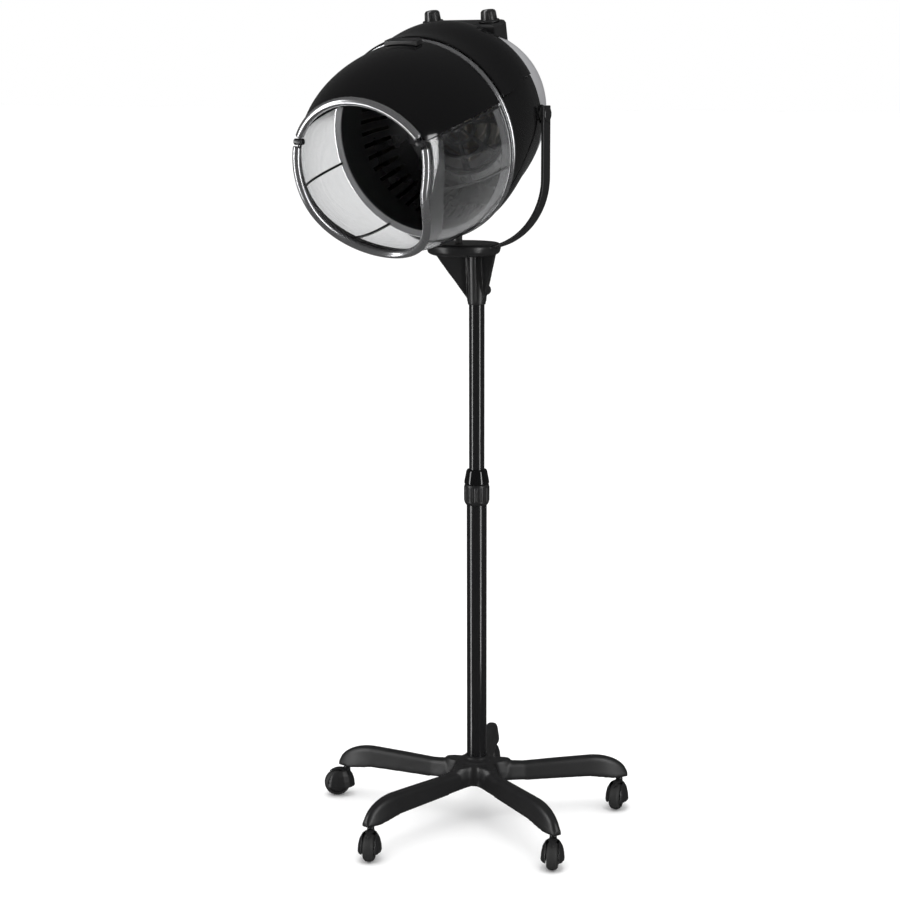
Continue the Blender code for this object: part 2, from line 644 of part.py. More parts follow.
def hood_shells(looks, hood):
    ring_back = RING_STATION - RING_WIDTH / 2
    ring_front = RING_STATION + RING_WIDTH / 2
    seam = SEAM_ANGLE
    upper = spread(seam + 0.12, 180 - seam - 0.12, 26)
    lug_half = 4.5
    front = hood_wall(
        upper, lambda a: ring_front + 0.0005, shell_end, 6, front_radius, SHELL_WALL)
    add("front_shell", front, looks["gloss_black"], hood)
    rim_tube(spread(seam + lug_half, 180 - seam - lug_half, 26), RIM_BEAD, "opening_trim", looks["silver"], hood)

    outer = HOOD_RADIUS + RING_PROUD
    inner = HOOD_RADIUS - 0.0022
    half = RING_WIDTH / 2
    bead_low = half * 0.30
    profile = [(inner, -half), (outer - 0.0008, -half), (outer, -bead_low), (HOOD_RADIUS + 0.0004, 0),
               (outer, bead_low), (outer - 0.0008, half), (inner, half)]
    add("joint_ring", along_hood(turned([(r, RING_STATION + s) for r, s in profile], 48)), looks["silver"], hood)

    lower = spread(180 - seam + 0.12 - 2, 360 + seam - 0.12 + 2, 38)
    rear = hood_wall(
        lower, lambda a: REAR_SPLIT + TOUCH, lambda a: ring_back - 0.0005, 5, rear_radius, SHELL_WALL)
    shell = add("rear_shell", rear, looks["gloss_black"], hood)
    inner_face = YOKE_GAP / 2
    bosses = [add(f"rear_boss_{side}", moved(
        rod(0.0150, 0.130, inner_face - 0.0040, 24), spin(side * pi / 2, "Y")), None, hood) for side in (-1, 1)]
    bore = add("rear_boss_bore", moved(rod(PIVOT_BOLT_RADIUS + RUN, -0.3, 0.3, 20), spin(pi / 2, "Y")), None, hood)
    join(shell, *bosses)
    cut(shell, bore)

    saddle = spread(seam + 2.25, 180 - seam - 2.25, 26)
    add("top_cover", hood_wall(
        saddle, lambda a: REAR_SPLIT + TOUCH, lambda a: ring_back - 0.0005, 6,
        lambda s: rear_radius(s) + COVER_PROUD * min(1.0, 0.35 + (s - REAR_SPLIT) / 0.03), SHELL_WALL),
        looks["gloss_black"], hood)


def rear_cover(looks, hood):
    """The cap at the back, with air slots in its flat face and a hole for the cord gland."""
    slots = 14
    angles = [360 / (2 * slots) * k + (2.2 if k % 2 else 0) for k in range(2 * slots)]
    rim = [REAR_SPLIT - TOUCH, 0.010, -0.022, -0.048, BACK_STATION + 0.004, BACK_STATION]
    face = [0.078, 0.070, 0.036, 0.028, 0.006]
    outline = [(rear_radius(s), s) for s in rim[:-1]] + [(rear_radius(BACK_STATION) - 0.003, BACK_STATION)]
    outline += [(r, BACK_STATION) for r in face]
    wall = SHELL_WALL

    def place(i, j, side):
        radius, station = outline[j]
        if side:
            flat = j >= len(rim) - 1
            radius = min(radius - wall, rear_radius(BACK_STATION) - 0.006) if j == len(rim) - 1 else radius
            radius = radius if flat else radius - wall
            station = BACK_STATION + wall if flat else max(station, BACK_STATION + wall)
        return lifted(angles[i], station, radius)

    slot_row = len(rim) + 1

    def kept(i, j):
        return not (j == slot_row and i % 2)

    cover = add("rear_cover", lattice(place, len(angles), len(outline) - 1, kept, closed=True), looks["grey"], hood)
    add("cord_gland", moved(along_hood(turned([
        (0, BACK_STATION - 0.016), (0.0042, BACK_STATION - 0.016), (0.0058, BACK_STATION - 0.004),
        (0.0098, BACK_STATION - 0.0035), (0.0098, BACK_STATION - TOUCH), (0.0052, BACK_STATION - TOUCH),
        (0.0052, BACK_STATION + 0.006), (0, BACK_STATION + 0.006)], 16, close=False)),
        shift(0, 0, REAR_LIFT)), looks["rubber"], hood)
    holes = [add(f"rear_spindle_hole_{side}", moved(
        rod(SPINDLE_RADIUS + 0.001, 0.02, 0.3, 14), shift(side * KNOB_SPACING / 2, PIVOT_STATION - PANEL_STATION, 0)),
        None, hood) for side in (-1, 1)]
    clearances = [add(f"rear_pivot_clearance_{side}", moved(
        rod(0.0158, 0.10, 0.20, 24), spin(side * pi / 2, "Y")), None, hood) for side in (-1, 1)]
    cut(cover, *holes, *clearances)


def controls(looks, hood):
    """The raised panel across the top, two knobs and the switches under them."""
    y = PIVOT_STATION - PANEL_STATION
    top = PANEL_TOP - AXIS_DROP
    half, deep = PANEL_LENGTH / 2, PANEL_DEPTH / 2
    low = 0.100
    panel = wrapped([
        (sx * (half - inset), y + sy * (deep - inset * 0.6), z)
        for sx in (-1, 1) for sy in (-1, 1)
        for inset, z in ((0.0, low), (0.0, top - 0.006), (0.0022, top - 0.0015), (0.0055, top))])
    body = add("control_panel", panel, looks["satin_black"], hood)
    stations = spread(BACK_STATION + 0.01, REAR_SPLIT + 0.03, 7)
    clear = [(rear_radius(s) + 0.0009, s) for s in stations]
    under = add("panel_underside", rear_turned(clear, 60, 1.3), None, hood)
    holes = []
    for side in (-1, 1):
        holes.append(add(f"panel_hole_{side}", moved(
            rod(SPINDLE_RADIUS + 0.0006, 0.02, 0.3, 14), shift(side * KNOB_SPACING / 2, y, 0)), None, hood))
    cut(body, under, *holes)
    for side, knob, switch in ((-1, "timer_knob", "timer_switch"), (1, "temperature_knob", "thermostat")):
        x = side * KNOB_SPACING / 2
        foot = top + 0.0005
        spindle_top = foot + KNOB_HEIGHT * 0.62
        skirt = KNOB_RADIUS + 0.0042
        cap = add(knob, moved(turned([
            (0, spindle_top + 0.0006), (SPINDLE_RADIUS + 0.0005, spindle_top + 0.0006),
            (SPINDLE_RADIUS + 0.0005, foot), (skirt, foot), (skirt, foot + 0.0022),
            (KNOB_RADIUS + 0.0006, foot + 0.0032), (KNOB_RADIUS - 0.0010, foot + KNOB_HEIGHT - 0.0012),
            (KNOB_RADIUS - 0.0022, foot + KNOB_HEIGHT), (0, foot + KNOB_HEIGHT)], 20, close=False),
            shift(x, y, 0)), looks["satin_black"], hood)
        pointer = add(f"{knob}_pointer", moved(
            block((-0.0009, -KNOB_RADIUS - 0.0008, foot + 0.004), (0.0009, -0.0045, foot + KNOB_HEIGHT + 0.0008)),
            shift(x, y, 0)), None, hood)
        join(cap, pointer)
        body_top = 0.090
        case = add(switch, moved(block((-0.016, -0.014, body_top - 0.026), (0.016, 0.014, body_top)),
                                 shift(x, y, 0)), looks["nylon"], hood)
        stalk = add(f"{switch}_stalk", moved(rod(SPINDLE_RADIUS, body_top - 0.004, spindle_top, 14),
                                             shift(x, y, 0)), None, hood)
        join(case, stalk)


def latch(looks, hood):
    """A low bar across the top of the front shell, next to the ring."""
    station = RING_STATION + RING_WIDTH / 2 + 0.019
    foot = front_radius(station) - AXIS_DROP + 0.0008
    y = PIVOT_STATION - station
    half, deep, tall = 0.029, 0.0095, 0.0066
    bar = wrapped([(sx * (half - i), y + sy * (deep - i * 0.5), foot + z)
                   for sx in (-1, 1) for sy in (-1, 1)
                   for i, z in ((0.0, -0.012), (0.0, tall - 0.003), (0.0015, tall - 0.0008), (0.004, tall))])
    piece = add("front_latch", bar, looks["satin_black"], hood)
    stations = spread(station - 0.03, station + 0.03, 6)
    under = add("latch_underside", along_hood(turned(
        [(0, stations[0])] + [(front_radius(s) + 0.0006, s) for s in stations] + [(0, stations[-1])], 96,
        close=False)), None, hood)
    cut(piece, under)


def visor(looks, hood):
    seam = SEAM_ANGLE
    ring_front = RING_STATION + RING_WIDTH / 2
    first, last = 180 - seam + 0.5, 360 + seam - 0.5
    back = ring_front + 0.0040
    add("visor_window", hood_wall(
        spread(first, last, 38), lambda a: back, shell_end, 6,
        lambda s: front_radius(s) - 0.0002, 0.0024), looks["clear"], hood)

    rib = degrees(RIB_WIDTH / 2 / 0.145)
    angles = set(spread(first + 0.4, last - 0.4, 34))
    angles = {a for a in angles if all(abs(a - r) > rib + 0.8 for r in RIB_ANGLES)}
    angles |= {r + sign * rib for r in RIB_ANGLES for sign in (-1, 1)}
    edge = 1.3
    angles |= {first + 0.4 + edge, last - 0.4 - edge}
    angles = sorted(a for a in angles if not (first + 0.4 < a < first + 0.4 + edge or last - 0.4 - edge < a < last - 0.4))
    rib_cells = {i for i, a in enumerate(angles[:-1]) if any(abs(a - (r - rib)) < 1e-6 for r in RIB_ANGLES)}
    rib_cells |= {0, len(angles) - 2}
    middle_rows = 5
    outer_step = 0.0036

    def place(i, j, side):
        angle = angles[i]
        lip = shell_end(angle) - 0.0008
        stations = [back, back + 0.0030] + spread(back + 0.0030, lip - RIM_LIP, middle_rows)[1:] + [lip]
        station = stations[j]
        outside = front_radius(station) - outer_step
        depth = BAND_WIDTH if j < 2 else 0.0026
        return on_hood(angle, station, outside - (depth if side else 0))

    def kept(i, j):
        return i in rib_cells or j == 0 or j == middle_rows + 1

    add("visor_frame", lattice(place, len(angles) - 1, middle_rows + 2, kept), looks["satin_black"], hood)
    lug_half = 4.5
    rim_tube(spread(180 - seam + lug_half, 360 + seam - lug_half, 44), RIM_BEAD, "visor_rim", looks["silver"], hood)
    for side, name in ((-1, "left"), (1, "right")):
        angle = seam if side > 0 else 180 - seam
        station = edge_station(angle)
        middle = Vector(on_hood(angle, station, front_radius(station)))
        lug = rod(0.0050, -0.0078, 0.0078, 18)
        lug = moved(lug, shift(*middle), spin(side * pi / 2, "Y"))
        add(f"visor_hinge_{name}", lug, looks["satin_black"], hood)


def hood_inside(looks, hood):
    """Slotted liner, diffuser, heater, fan and motor."""
    mouth = RING_STATION + RING_WIDTH / 2 + 0.0015
    floor = LINER_FLOOR
    slot_share = 0.34
    pitch = 360 / LINER_SLOTS
    angles = [pitch * (k // 2) + (pitch * slot_share if k % 2 else 0) for k in range(2 * LINER_SLOTS)]
    outline = [
        (HOOD_RADIUS - 0.0035, mouth), (LINER_MOUTH, mouth), (LINER_MOUTH - 0.003, mouth - 0.030),
        (LINER_MOUTH - 0.012, mouth - 0.070), (LINER_MOUTH - 0.030, mouth - 0.105),
        (LINER_FLOOR_RADIUS + 0.003, floor + 0.002), (LINER_FLOOR_RADIUS - 0.010, floor)]
    wall = 0.0022

    def place(i, j, side):
        radius, station = outline[j]
        if side:
            station -= wall if j in (0, 5, 6) else wall * 0.5
            radius += 0 if j in (0, 6) else wall
            if j == 1:
                station, radius = mouth - wall, LINER_MOUTH + wall
        return on_hood(angles[i], station, radius)

    def kept(i, j):
        return not (i % 2 == 0 and j == 3)

    add("inner_liner", lattice(place, len(angles), len(outline) - 1, kept, closed=True), looks["liner_black"], hood)

    spokes = 8
    disc_angles = [360 / spokes * (k // 2) + (9 if k % 2 else 0) for k in range(2 * spokes)]
    rings = [LINER_FLOOR_RADIUS - 0.0145, 0.078, 0.060, 0.054, 0.036, 0.030, 0.014, 0.004]

    def disc(i, j, side):
        dome = 0.010 * (1 - (rings[j] / rings[0]) ** 2)
        return on_hood(disc_angles[i], floor - 0.001 + dome - (0.0025 if side else 0), rings[j])

    add("air_diffuser", lattice(
        disc, len(disc_angles), len(rings) - 1, lambda i, j: j % 2 == 0 or i % 2 == 0, closed=True),
        looks["liner_black"], hood)

    heater_low, heater_high = 0.006, 0.040
    board = add("heater_frame", along_hood(moved(
        block((-0.072, -0.0012, heater_low), (0.072, 0.0012, heater_high)))), looks["mica"], hood)
    cross = add("heater_board_across", along_hood(moved(
        block((-0.0012, -0.072, heater_low), (0.0012, 0.072, heater_high)))), None, hood)
    join(board, cross)
    turns, per_turn = 3, 16
    path = []
    for k in range(turns * per_turn + 1):
        share = k / (turns * per_turn)
        angle = radians(6) + 2 * pi * turns * share
        radius = 0.030 + 0.034 * share
        path.append(Vector(on_hood(degrees(angle), heater_high + 0.0030, radius)))

    def coil_ring(k):
        ahead = (path[min(k + 1, len(path) - 1)] - path[max(k - 1, 0)]).normalized()
        side = ahead.cross(Vector((0, 1, 0))).normalized()
        up = side.cross(ahead)
        return [path[k] + (side * cos(t) + up * sin(t)) * 0.0018 for t in (2 * pi * n / 5 for n in range(5))]

    add("heater_coil", swept(path, coil_ring), looks["wire"], hood)

    hub_low, hub_high = -0.030, -0.006
    impeller = add("fan_impeller", along_hood(turned([
        (0.0030, hub_low), (0.062, hub_low), (0.062, hub_low + 0.0022), (0.013, hub_low + 0.004),
        (0.011, hub_high), (0.0030, hub_high)], 24)), looks["nylon"], hood)
    blades = []
    for k in range(9):
        blade = moved(block((0.010, -0.0011, hub_low + 0.001), (0.060, 0.0011, hub_high - 0.003)),
                      spin(2 * pi * k / 9), shift(0, 0.004, 0), spin(radians(-8)))
        blades.append(add(f"fan_blade_{k}", along_hood(blade), None, hood))
    join(impeller, *blades)
    motor_back, motor_front = BACK_STATION + 0.012, hub_low - 0.0045
    add("fan_motor", along_hood(turned([
        (0, motor_back), (0.019, motor_back), (0.022, motor_back + 0.003), (0.022, motor_front - 0.002),
        (0.008, motor_front), (0.0024, motor_front + 0.0005), (0.0024, hub_high + 0.002), (0, hub_high + 0.002)],
        20, close=False)), looks["steel"], hood)
    bracket_low, bracket_high = motor_back + 0.006, motor_back + 0.010
    bracket = add("motor_bracket", along_hood(pipe(0.0275, 0.0224, bracket_low, bracket_high, 20)), looks["steel"], hood)
    wide = rear_radius(bracket_low) - SHELL_WALL - 0.0030
    legs = []
    for k in range(3):
        turn = pi / 2 + 2 * pi * k / 3
        reach = REAR_LIFT * sin(turn) + sqrt(wide ** 2 - (REAR_LIFT * cos(turn)) ** 2)
        leg = block((0.025, -0.006, bracket_low + 0.0004), (reach, 0.006, bracket_high - 0.0004))
        legs.append(add(f"bracket_leg_{k}", along_hood(moved(leg, spin(turn))), None, hood))
    join(bracket, *legs)


def main():
    clear_scene()
    looks = make_looks()
    star_base(looks)
    for number in range(1, ARM_COUNT + 1):
        caster(number, looks)
    column(looks)
    yoke(looks)
    hood = frame("hood_frame", (0, -PIVOT_FORWARD, PIVOT_HEIGHT), (HOOD_TILT, 0, 0))
    hood_shells(looks, hood)
    rear_cover(looks, hood)
    controls(looks, hood)
    latch(looks, hood)
    visor(looks, hood)
    hood_inside(looks, hood)


main()
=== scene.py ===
"""Looks of the hood hair dryer: smooth shells, trims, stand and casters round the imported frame."""

import json
from functools import cache
from math import cos, pi, radians, sin, sqrt

import bmesh
import bpy
from mathutils import Matrix, Vector

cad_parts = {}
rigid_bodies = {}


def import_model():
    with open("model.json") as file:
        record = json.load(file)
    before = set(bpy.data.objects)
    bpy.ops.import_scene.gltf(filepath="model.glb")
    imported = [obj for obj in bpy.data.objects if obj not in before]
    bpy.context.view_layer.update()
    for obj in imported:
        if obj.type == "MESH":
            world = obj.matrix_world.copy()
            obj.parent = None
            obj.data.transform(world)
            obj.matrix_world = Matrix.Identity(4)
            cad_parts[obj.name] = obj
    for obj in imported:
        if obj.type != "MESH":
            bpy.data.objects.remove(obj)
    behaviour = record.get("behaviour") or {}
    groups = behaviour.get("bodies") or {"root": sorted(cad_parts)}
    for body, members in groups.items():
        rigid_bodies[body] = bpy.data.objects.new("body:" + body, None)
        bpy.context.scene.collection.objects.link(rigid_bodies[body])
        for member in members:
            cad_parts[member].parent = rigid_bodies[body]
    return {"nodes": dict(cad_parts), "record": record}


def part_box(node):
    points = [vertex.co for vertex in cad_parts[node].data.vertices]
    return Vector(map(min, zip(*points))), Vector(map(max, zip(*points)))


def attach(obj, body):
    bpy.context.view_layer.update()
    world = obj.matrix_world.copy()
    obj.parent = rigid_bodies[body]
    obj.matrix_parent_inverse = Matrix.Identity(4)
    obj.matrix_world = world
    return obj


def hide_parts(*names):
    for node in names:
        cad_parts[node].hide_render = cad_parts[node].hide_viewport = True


# ------------------------------------------------------------------ sizes of the hood, metres and degrees
TILT = radians(13.2)
PIVOT = Vector((0.0, -0.048, 1.2258))
PIVOT_STATION = 0.047
AXIS_DROP = 0.011
HOOD_RADIUS = 0.160
REAR_RADIUS = 0.159
FRONT_SHOULDER, FRONT_LENGTH, FRONT_POWER = 0.013, 0.238, 2.4
REAR_SHOULDER, REAR_LENGTH, REAR_POWER = 0.010, 0.298, 1.9
WALL = 0.003
GAP, SPLIT_GAP = 0.0005, 0.0003
RING_STATION = 0.1820
RING_WIDTH = 0.0110
RING_PROUD, RING_SUNK = 0.0018, 0.0022
REAR_SPLIT = 0.041
BACK_STATION = -0.070
SEAM = 23.0
FRONT_SEAM, REAR_SEAM, COVER_SEAM, BEAD_SEAM, VISOR_SEAM = 0.12, 1.88, 2.25, 4.5, 0.5
HINGE_HEIGHT = 0.039
OPENING_STATION = 0.3668
EDGE_RAKE, EDGE_CREST, EDGE_SWELL, EDGE_CUT, EDGE_DEPTH = 0.155, -0.0266, 0.0102, 0.0677, 0.1227
COVER_PROUD = 0.006
RIM_BEAD = 0.0130
RIM_PROUD = 0.0018
REAR_LIFT, LIFT_START, LIFT_RUN = 0.0130, 0.022, 0.085
VISOR_WALL, VISOR_BACK, FRAME_INSET = 0.0024, 0.0040, 0.0036
RIB_ANGLES = (193.5, 241.0, 299.0, 346.5)
LUG_RADIUS, LUG_HALF = 0.0050, 0.0078
LINER_WALL = 0.0022
CAP_SLOTS, LINER_SLOTS, DIFFUSER_SPOKES, KNOB_FLUTES = 14, 44, 8, 24
KNOB_RADIUS, KNOB_HEIGHT, KNOB_SPACING = 0.0130, 0.0185, 0.104
PANEL_STATION, PANEL_TOP = 0.0190, 0.1540

# ------------------------------------------------------------------ sizes of the stand, metres
ARM_COUNT, BASE_TURN, STEM_CIRCLE = 5, radians(111.7), 0.260
ARM_TOP, ARM_DEPTH, ARM_WIDTH_TOP, ARM_WIDTH_FOOT, ARM_NOSE = 0.098, 0.036, 0.019, 0.029, 0.014
HUB_TOP, HUB_RADIUS, HUB_NECK = 0.108, 0.036, 0.0055
WHEEL_RADIUS, WHEEL_WIDTH, CASTER_TRAIL = 0.0235, 0.0195, 0.018
CASTER_TURNS = (-150, -140, -67, -67, -81)
YOKE_GAP, YOKE_STRAP, YOKE_ARM_WIDTH, YOKE_CORNER, YOKE_ARC_HEIGHT = 0.299, 0.0055, 0.026, 0.120, 1.125
DISH_RADIUS, DISH_TOP, DISH_DEPTH = 0.0625, 1.0145, 0.0205
BOSS_FOOT, BOSS_RADIUS_TOP, BOSS_RADIUS_FOOT = 0.907, 0.0178, 0.0152
BOSS_RIBS, COLLAR_RIBS = 8, 36
SIDES = ((-1, "left"), (1, "right"))

# ------------------------------------------------------------------ start
for thing in list(bpy.data.objects):
    bpy.data.objects.remove(thing, do_unlink=True)
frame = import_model()
NODES = frame["nodes"]
SLOTS = {row["node"]: row["material_slot"] for row in frame["record"]["subparts"]}
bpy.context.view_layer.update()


# ------------------------------------------------------------------ shader groups
def new_group(name, inputs, outputs):
    group = bpy.data.node_groups.new(name, "ShaderNodeTree")
    for label, kind, value in inputs:
        socket = group.interface.new_socket(label, in_out="INPUT", socket_type=kind)
        socket.default_value = value
    for label, kind in outputs:
        group.interface.new_socket(label, in_out="OUTPUT", socket_type=kind)
    return group, group.nodes.new("NodeGroupInput"), group.nodes.new("NodeGroupOutput")


def node(tree, kind, **settings):
    made = tree.nodes.new(kind)
    for key, value in settings.items():
        if key in made.inputs:
            made.inputs[key].default_value = value
        else:
            setattr(made, key, value)
    return made


def ramp(tree, source, low, high, clamp=True):
    """Source stretched so that low becomes 0 and high becomes 1."""
    made = node(tree, "ShaderNodeMapRange", clamp=clamp)
    made.inputs["From Min"].default_value = low
    made.inputs["From Max"].default_value = high
    tree.links.new(source, made.inputs["Value"])
    return made.outputs["Result"]


def moulded_surface():
    """Fine surface texture of a moulded or painted skin: height for a bump, and a patchy mask."""
    group, start, end = new_group("moulded_surface", [
        ("Grain Size", "NodeSocketFloat", 900.0), ("Patch Size", "NodeSocketFloat", 9.0),
        ("Detail", "NodeSocketFloat", 3.0)], [("Height", "NodeSocketFloat"), ("Patch", "NodeSocketFloat")])
    place = node(group, "ShaderNodeTexCoord")
    grain = node(group, "ShaderNodeTexNoise", noise_dimensions="3D")
    patch = node(group, "ShaderNodeTexNoise", noise_dimensions="3D", Detail=4.0, Roughness=0.6)
    link = group.links.new
    link(place.outputs["Object"], grain.inputs["Vector"])
    link(place.outputs["Object"], patch.inputs["Vector"])
    link(start.outputs["Grain Size"], grain.inputs["Scale"])
    link(start.outputs["Detail"], grain.inputs["Detail"])
    link(start.outputs["Patch Size"], patch.inputs["Scale"])
    link(grain.outputs["Fac"], end.inputs["Height"])
    link(ramp(group, patch.outputs["Fac"], 0.35, 0.70), end.inputs["Patch"])
    return group


def edge_wear():
    """Where edges stand out: a narrow mask from the surface's pointiness, broken up by noise."""
    group, start, end = new_group("edge_wear", [
        ("Low", "NodeSocketFloat", 0.52), ("High", "NodeSocketFloat", 0.60)], [("Wear", "NodeSocketFloat")])
    shape = node(group, "ShaderNodeNewGeometry")
    place = node(group, "ShaderNodeTexCoord")
    spots = node(group, "ShaderNodeTexNoise", Scale=160.0, Detail=3.0)
    stretch = node(group, "ShaderNodeMapRange", clamp=True)
    broken = node(group, "ShaderNodeMath", operation="MULTIPLY", use_clamp=True)
    link = group.links.new
    link(shape.outputs["Pointiness"], stretch.inputs["Value"])
    link(start.outputs["Low"], stretch.inputs["From Min"])
    link(start.outputs["High"], stretch.inputs["From Max"])
    link(place.outputs["Object"], spots.inputs["Vector"])
    link(stretch.outputs["Result"], broken.inputs[0])
    link(ramp(group, spots.outputs["Fac"], 0.42, 0.58), broken.inputs[1])
    link(broken.outputs[0], end.inputs["Wear"])
    return group


def settled_dust():
    """Dust on faces that look up, patchy."""
    group, start, end = new_group("settled_dust", [("Amount", "NodeSocketFloat", 0.3)],
                                  [("Dust", "NodeSocketFloat")])
    shape = node(group, "ShaderNodeNewGeometry")
    split = node(group, "ShaderNodeSeparateXYZ")
    place = node(group, "ShaderNodeTexCoord")
    spots = node(group, "ShaderNodeTexNoise", Scale=38.0, Detail=6.0, Roughness=0.65)
    up = node(group, "ShaderNodeMath", operation="MULTIPLY", use_clamp=True)
    much = node(group, "ShaderNodeMath", operation="MULTIPLY", use_clamp=True)
    link = group.links.new
    link(shape.outputs["Normal"], split.inputs[0])
    link(place.outputs["Object"], spots.inputs["Vector"])
    link(ramp(group, split.outputs["Z"], 0.55, 1.0), up.inputs[0])
    link(ramp(group, spots.outputs["Fac"], 0.38, 0.72), up.inputs[1])
    link(up.outputs[0], much.inputs[0])
    link(start.outputs["Amount"], much.inputs[1])
    link(much.outputs[0], end.inputs["Dust"])
    return group


SURFACE, WEAR, DUST = moulded_surface(), edge_wear(), settled_dust()
DUST_COLOUR = (0.30, 0.29, 0.27)


def finish_of(name, colour, rough, metallic=0.0, grain=900.0, bump=0.0, rough_spread=0.06,
              wear=0.0, wear_colour=(0.2, 0.2, 0.2), dust=0.0, coat=0.0, transmission=0.0, ior=1.5):
    """A material: base colour and roughness varied by the shared groups, with wear, dust and a fine bump."""
    made = bpy.data.materials.new(name)
    made.use_nodes = True
    tree = made.node_tree
    link = tree.links.new
    shader = tree.nodes["Principled BSDF"]
    shader.inputs["Base Color"].default_value = (*colour, 1)
    shader.inputs["Metallic"].default_value = metallic
    shader.inputs["Coat Weight"].default_value = coat
    shader.inputs["Coat Roughness"].default_value = 0.04
    shader.inputs["IOR"].default_value = ior
    shader.inputs["Transmission Weight"].default_value = transmission
    skin = node(tree, "ShaderNodeGroup", node_tree=SURFACE)
    skin.inputs["Grain Size"].default_value = grain
    spread = node(tree, "ShaderNodeMapRange", clamp=True)
    spread.inputs["To Min"].default_value = max(0.02, rough - rough_spread)
    spread.inputs["To Max"].default_value = rough + rough_spread
    link(skin.outputs["Patch"], spread.inputs["Value"])
    link(spread.outputs["Result"], shader.inputs["Roughness"])
    base = None
    for amount, group, output, settings, tint in (
            (wear, WEAR, "Wear", {}, wear_colour),
            (dust, DUST, "Dust", {"Amount": dust}, DUST_COLOUR)):
        if not amount:
            continue
        mask = node(tree, "ShaderNodeGroup", node_tree=group)
        for key, value in settings.items():
            mask.inputs[key].default_value = value
        strength = node(tree, "ShaderNodeMath", operation="MULTIPLY", use_clamp=True)
        strength.inputs[1].default_value = wear if output == "Wear" else 1.0
        link(mask.outputs[output], strength.inputs[0])
        mix = node(tree, "ShaderNodeMix", data_type="RGBA")
        mix.inputs["A"].default_value = (*colour, 1)
        if base:
            link(base, mix.inputs["A"])
        mix.inputs["B"].default_value = (*tint, 1)
        link(strength.outputs[0], mix.inputs["Factor"])
        base = mix.outputs["Result"]
    if base:
        link(base, shader.inputs["Base Color"])
    if bump:
        relief = node(tree, "ShaderNodeBump", Strength=0.5, Distance=bump)
        link(skin.outputs["Height"], relief.inputs["Height"])
        link(relief.outputs["Normal"], shader.inputs["Normal"])
    return made


LOOKS = {
    "gloss_black": finish_of("gloss_black_shell", (0.0032, 0.0032, 0.0034), 0.085, grain=60.0, bump=0.00003,
                             rough_spread=0.02),
    "satin_black": finish_of("satin_black_moulding", (0.011, 0.011, 0.0115), 0.34, grain=1500.0, bump=0.00012,
                             wear=0.25, wear_colour=(0.05, 0.05, 0.05), dust=0.02),
    "base_black": finish_of("base_black_moulding", (0.010, 0.010, 0.0105), 0.40, grain=1300.0, bump=0.00014,
                            wear=0.25, wear_colour=(0.05, 0.05, 0.05), dust=0.02),
    "liner_black": finish_of("liner_black_moulding", (0.013, 0.013, 0.0135), 0.30, grain=1400.0, bump=0.0001),
    "painted_tube": finish_of("painted_steel_tube", (0.007, 0.007, 0.0075), 0.20, grain=500.0, bump=0.00003,
                              rough_spread=0.05, coat=0.2),
    "silver": finish_of("silver_trim", (0.42, 0.42, 0.43), 0.27, 0.9, grain=700.0, bump=0.00003,
                        rough_spread=0.05),
    "lug": finish_of("hinge_lug_black", (0.014, 0.014, 0.015), 0.30, grain=900.0, bump=0.00005),
    # Light grey: the knob pointers' own colour; on the visor flange the same grey is a painted reflection,
    # standing in for light caught by a black plastic band.
    "light_grey": finish_of("light_grey_moulding_and_painted_reflection", (0.24, 0.24, 0.245), 0.36, grain=900.0, bump=0.00006,
                            dust=0.05),
    "steel": finish_of("zinc_steel", (0.52, 0.52, 0.53), 0.30, 1.0, grain=300.0, bump=0.00004, wear=0.2,
                       wear_colour=(0.7, 0.7, 0.7)),
    "clear": finish_of("clear_visor", (0.73, 0.735, 0.74), 0.05, grain=40.0, rough_spread=0.01,
                       transmission=1.0, ior=1.45),
    "grey": finish_of("grey_moulding", (0.30, 0.30, 0.31), 0.34, grain=900.0, bump=0.00006,
                      rough_spread=0.05),
    "rubber": finish_of("caster_rubber", (0.020, 0.020, 0.020), 0.58, grain=1000.0, bump=0.0002, wear=0.3,
                        wear_colour=(0.08, 0.08, 0.08)),
    "mica": finish_of("mica_board", (0.50, 0.44, 0.35), 0.55, grain=250.0, bump=0.0001, wear=0.2),
    "wire": finish_of("heater_wire", (0.42, 0.38, 0.34), 0.35, 1.0, grain=700.0, bump=0.00005),
    "nylon": finish_of("white_nylon", (0.66, 0.65, 0.61), 0.45, grain=900.0, bump=0.00008, dust=0.1),
}
for solid_name, slot_name in SLOTS.items():
    NODES[solid_name].data.materials.clear()
    NODES[solid_name].data.materials.append(LOOKS[slot_name])


# ------------------------------------------------------------------ camera, floor and light
CAMERA_PLACE, CAMERA_TURN = (1.5936, -2.921, 1.276), (radians(79.469), 0, radians(28.624))
LENS, SENSOR_WIDTH, LENS_SHIFT = 79.18, 36.0, (-0.0294, 0.0)
FLOOR_REACH, FLOOR_COLOUR, FLOOR_ROUGH = 80.0, (0.93, 0.93, 0.93, 1), 0.85
SURROUND = 0.07
SURROUND_GAINS = (("Is Camera Ray", 0.93), ("Is Diffuse Ray", 1.18), ("Is Transmission Ray", 0.10))


def linked(name, data):
    """A new object in the scene."""
    made = bpy.data.objects.new(name, data)
    bpy.context.scene.collection.objects.link(made)
    return made


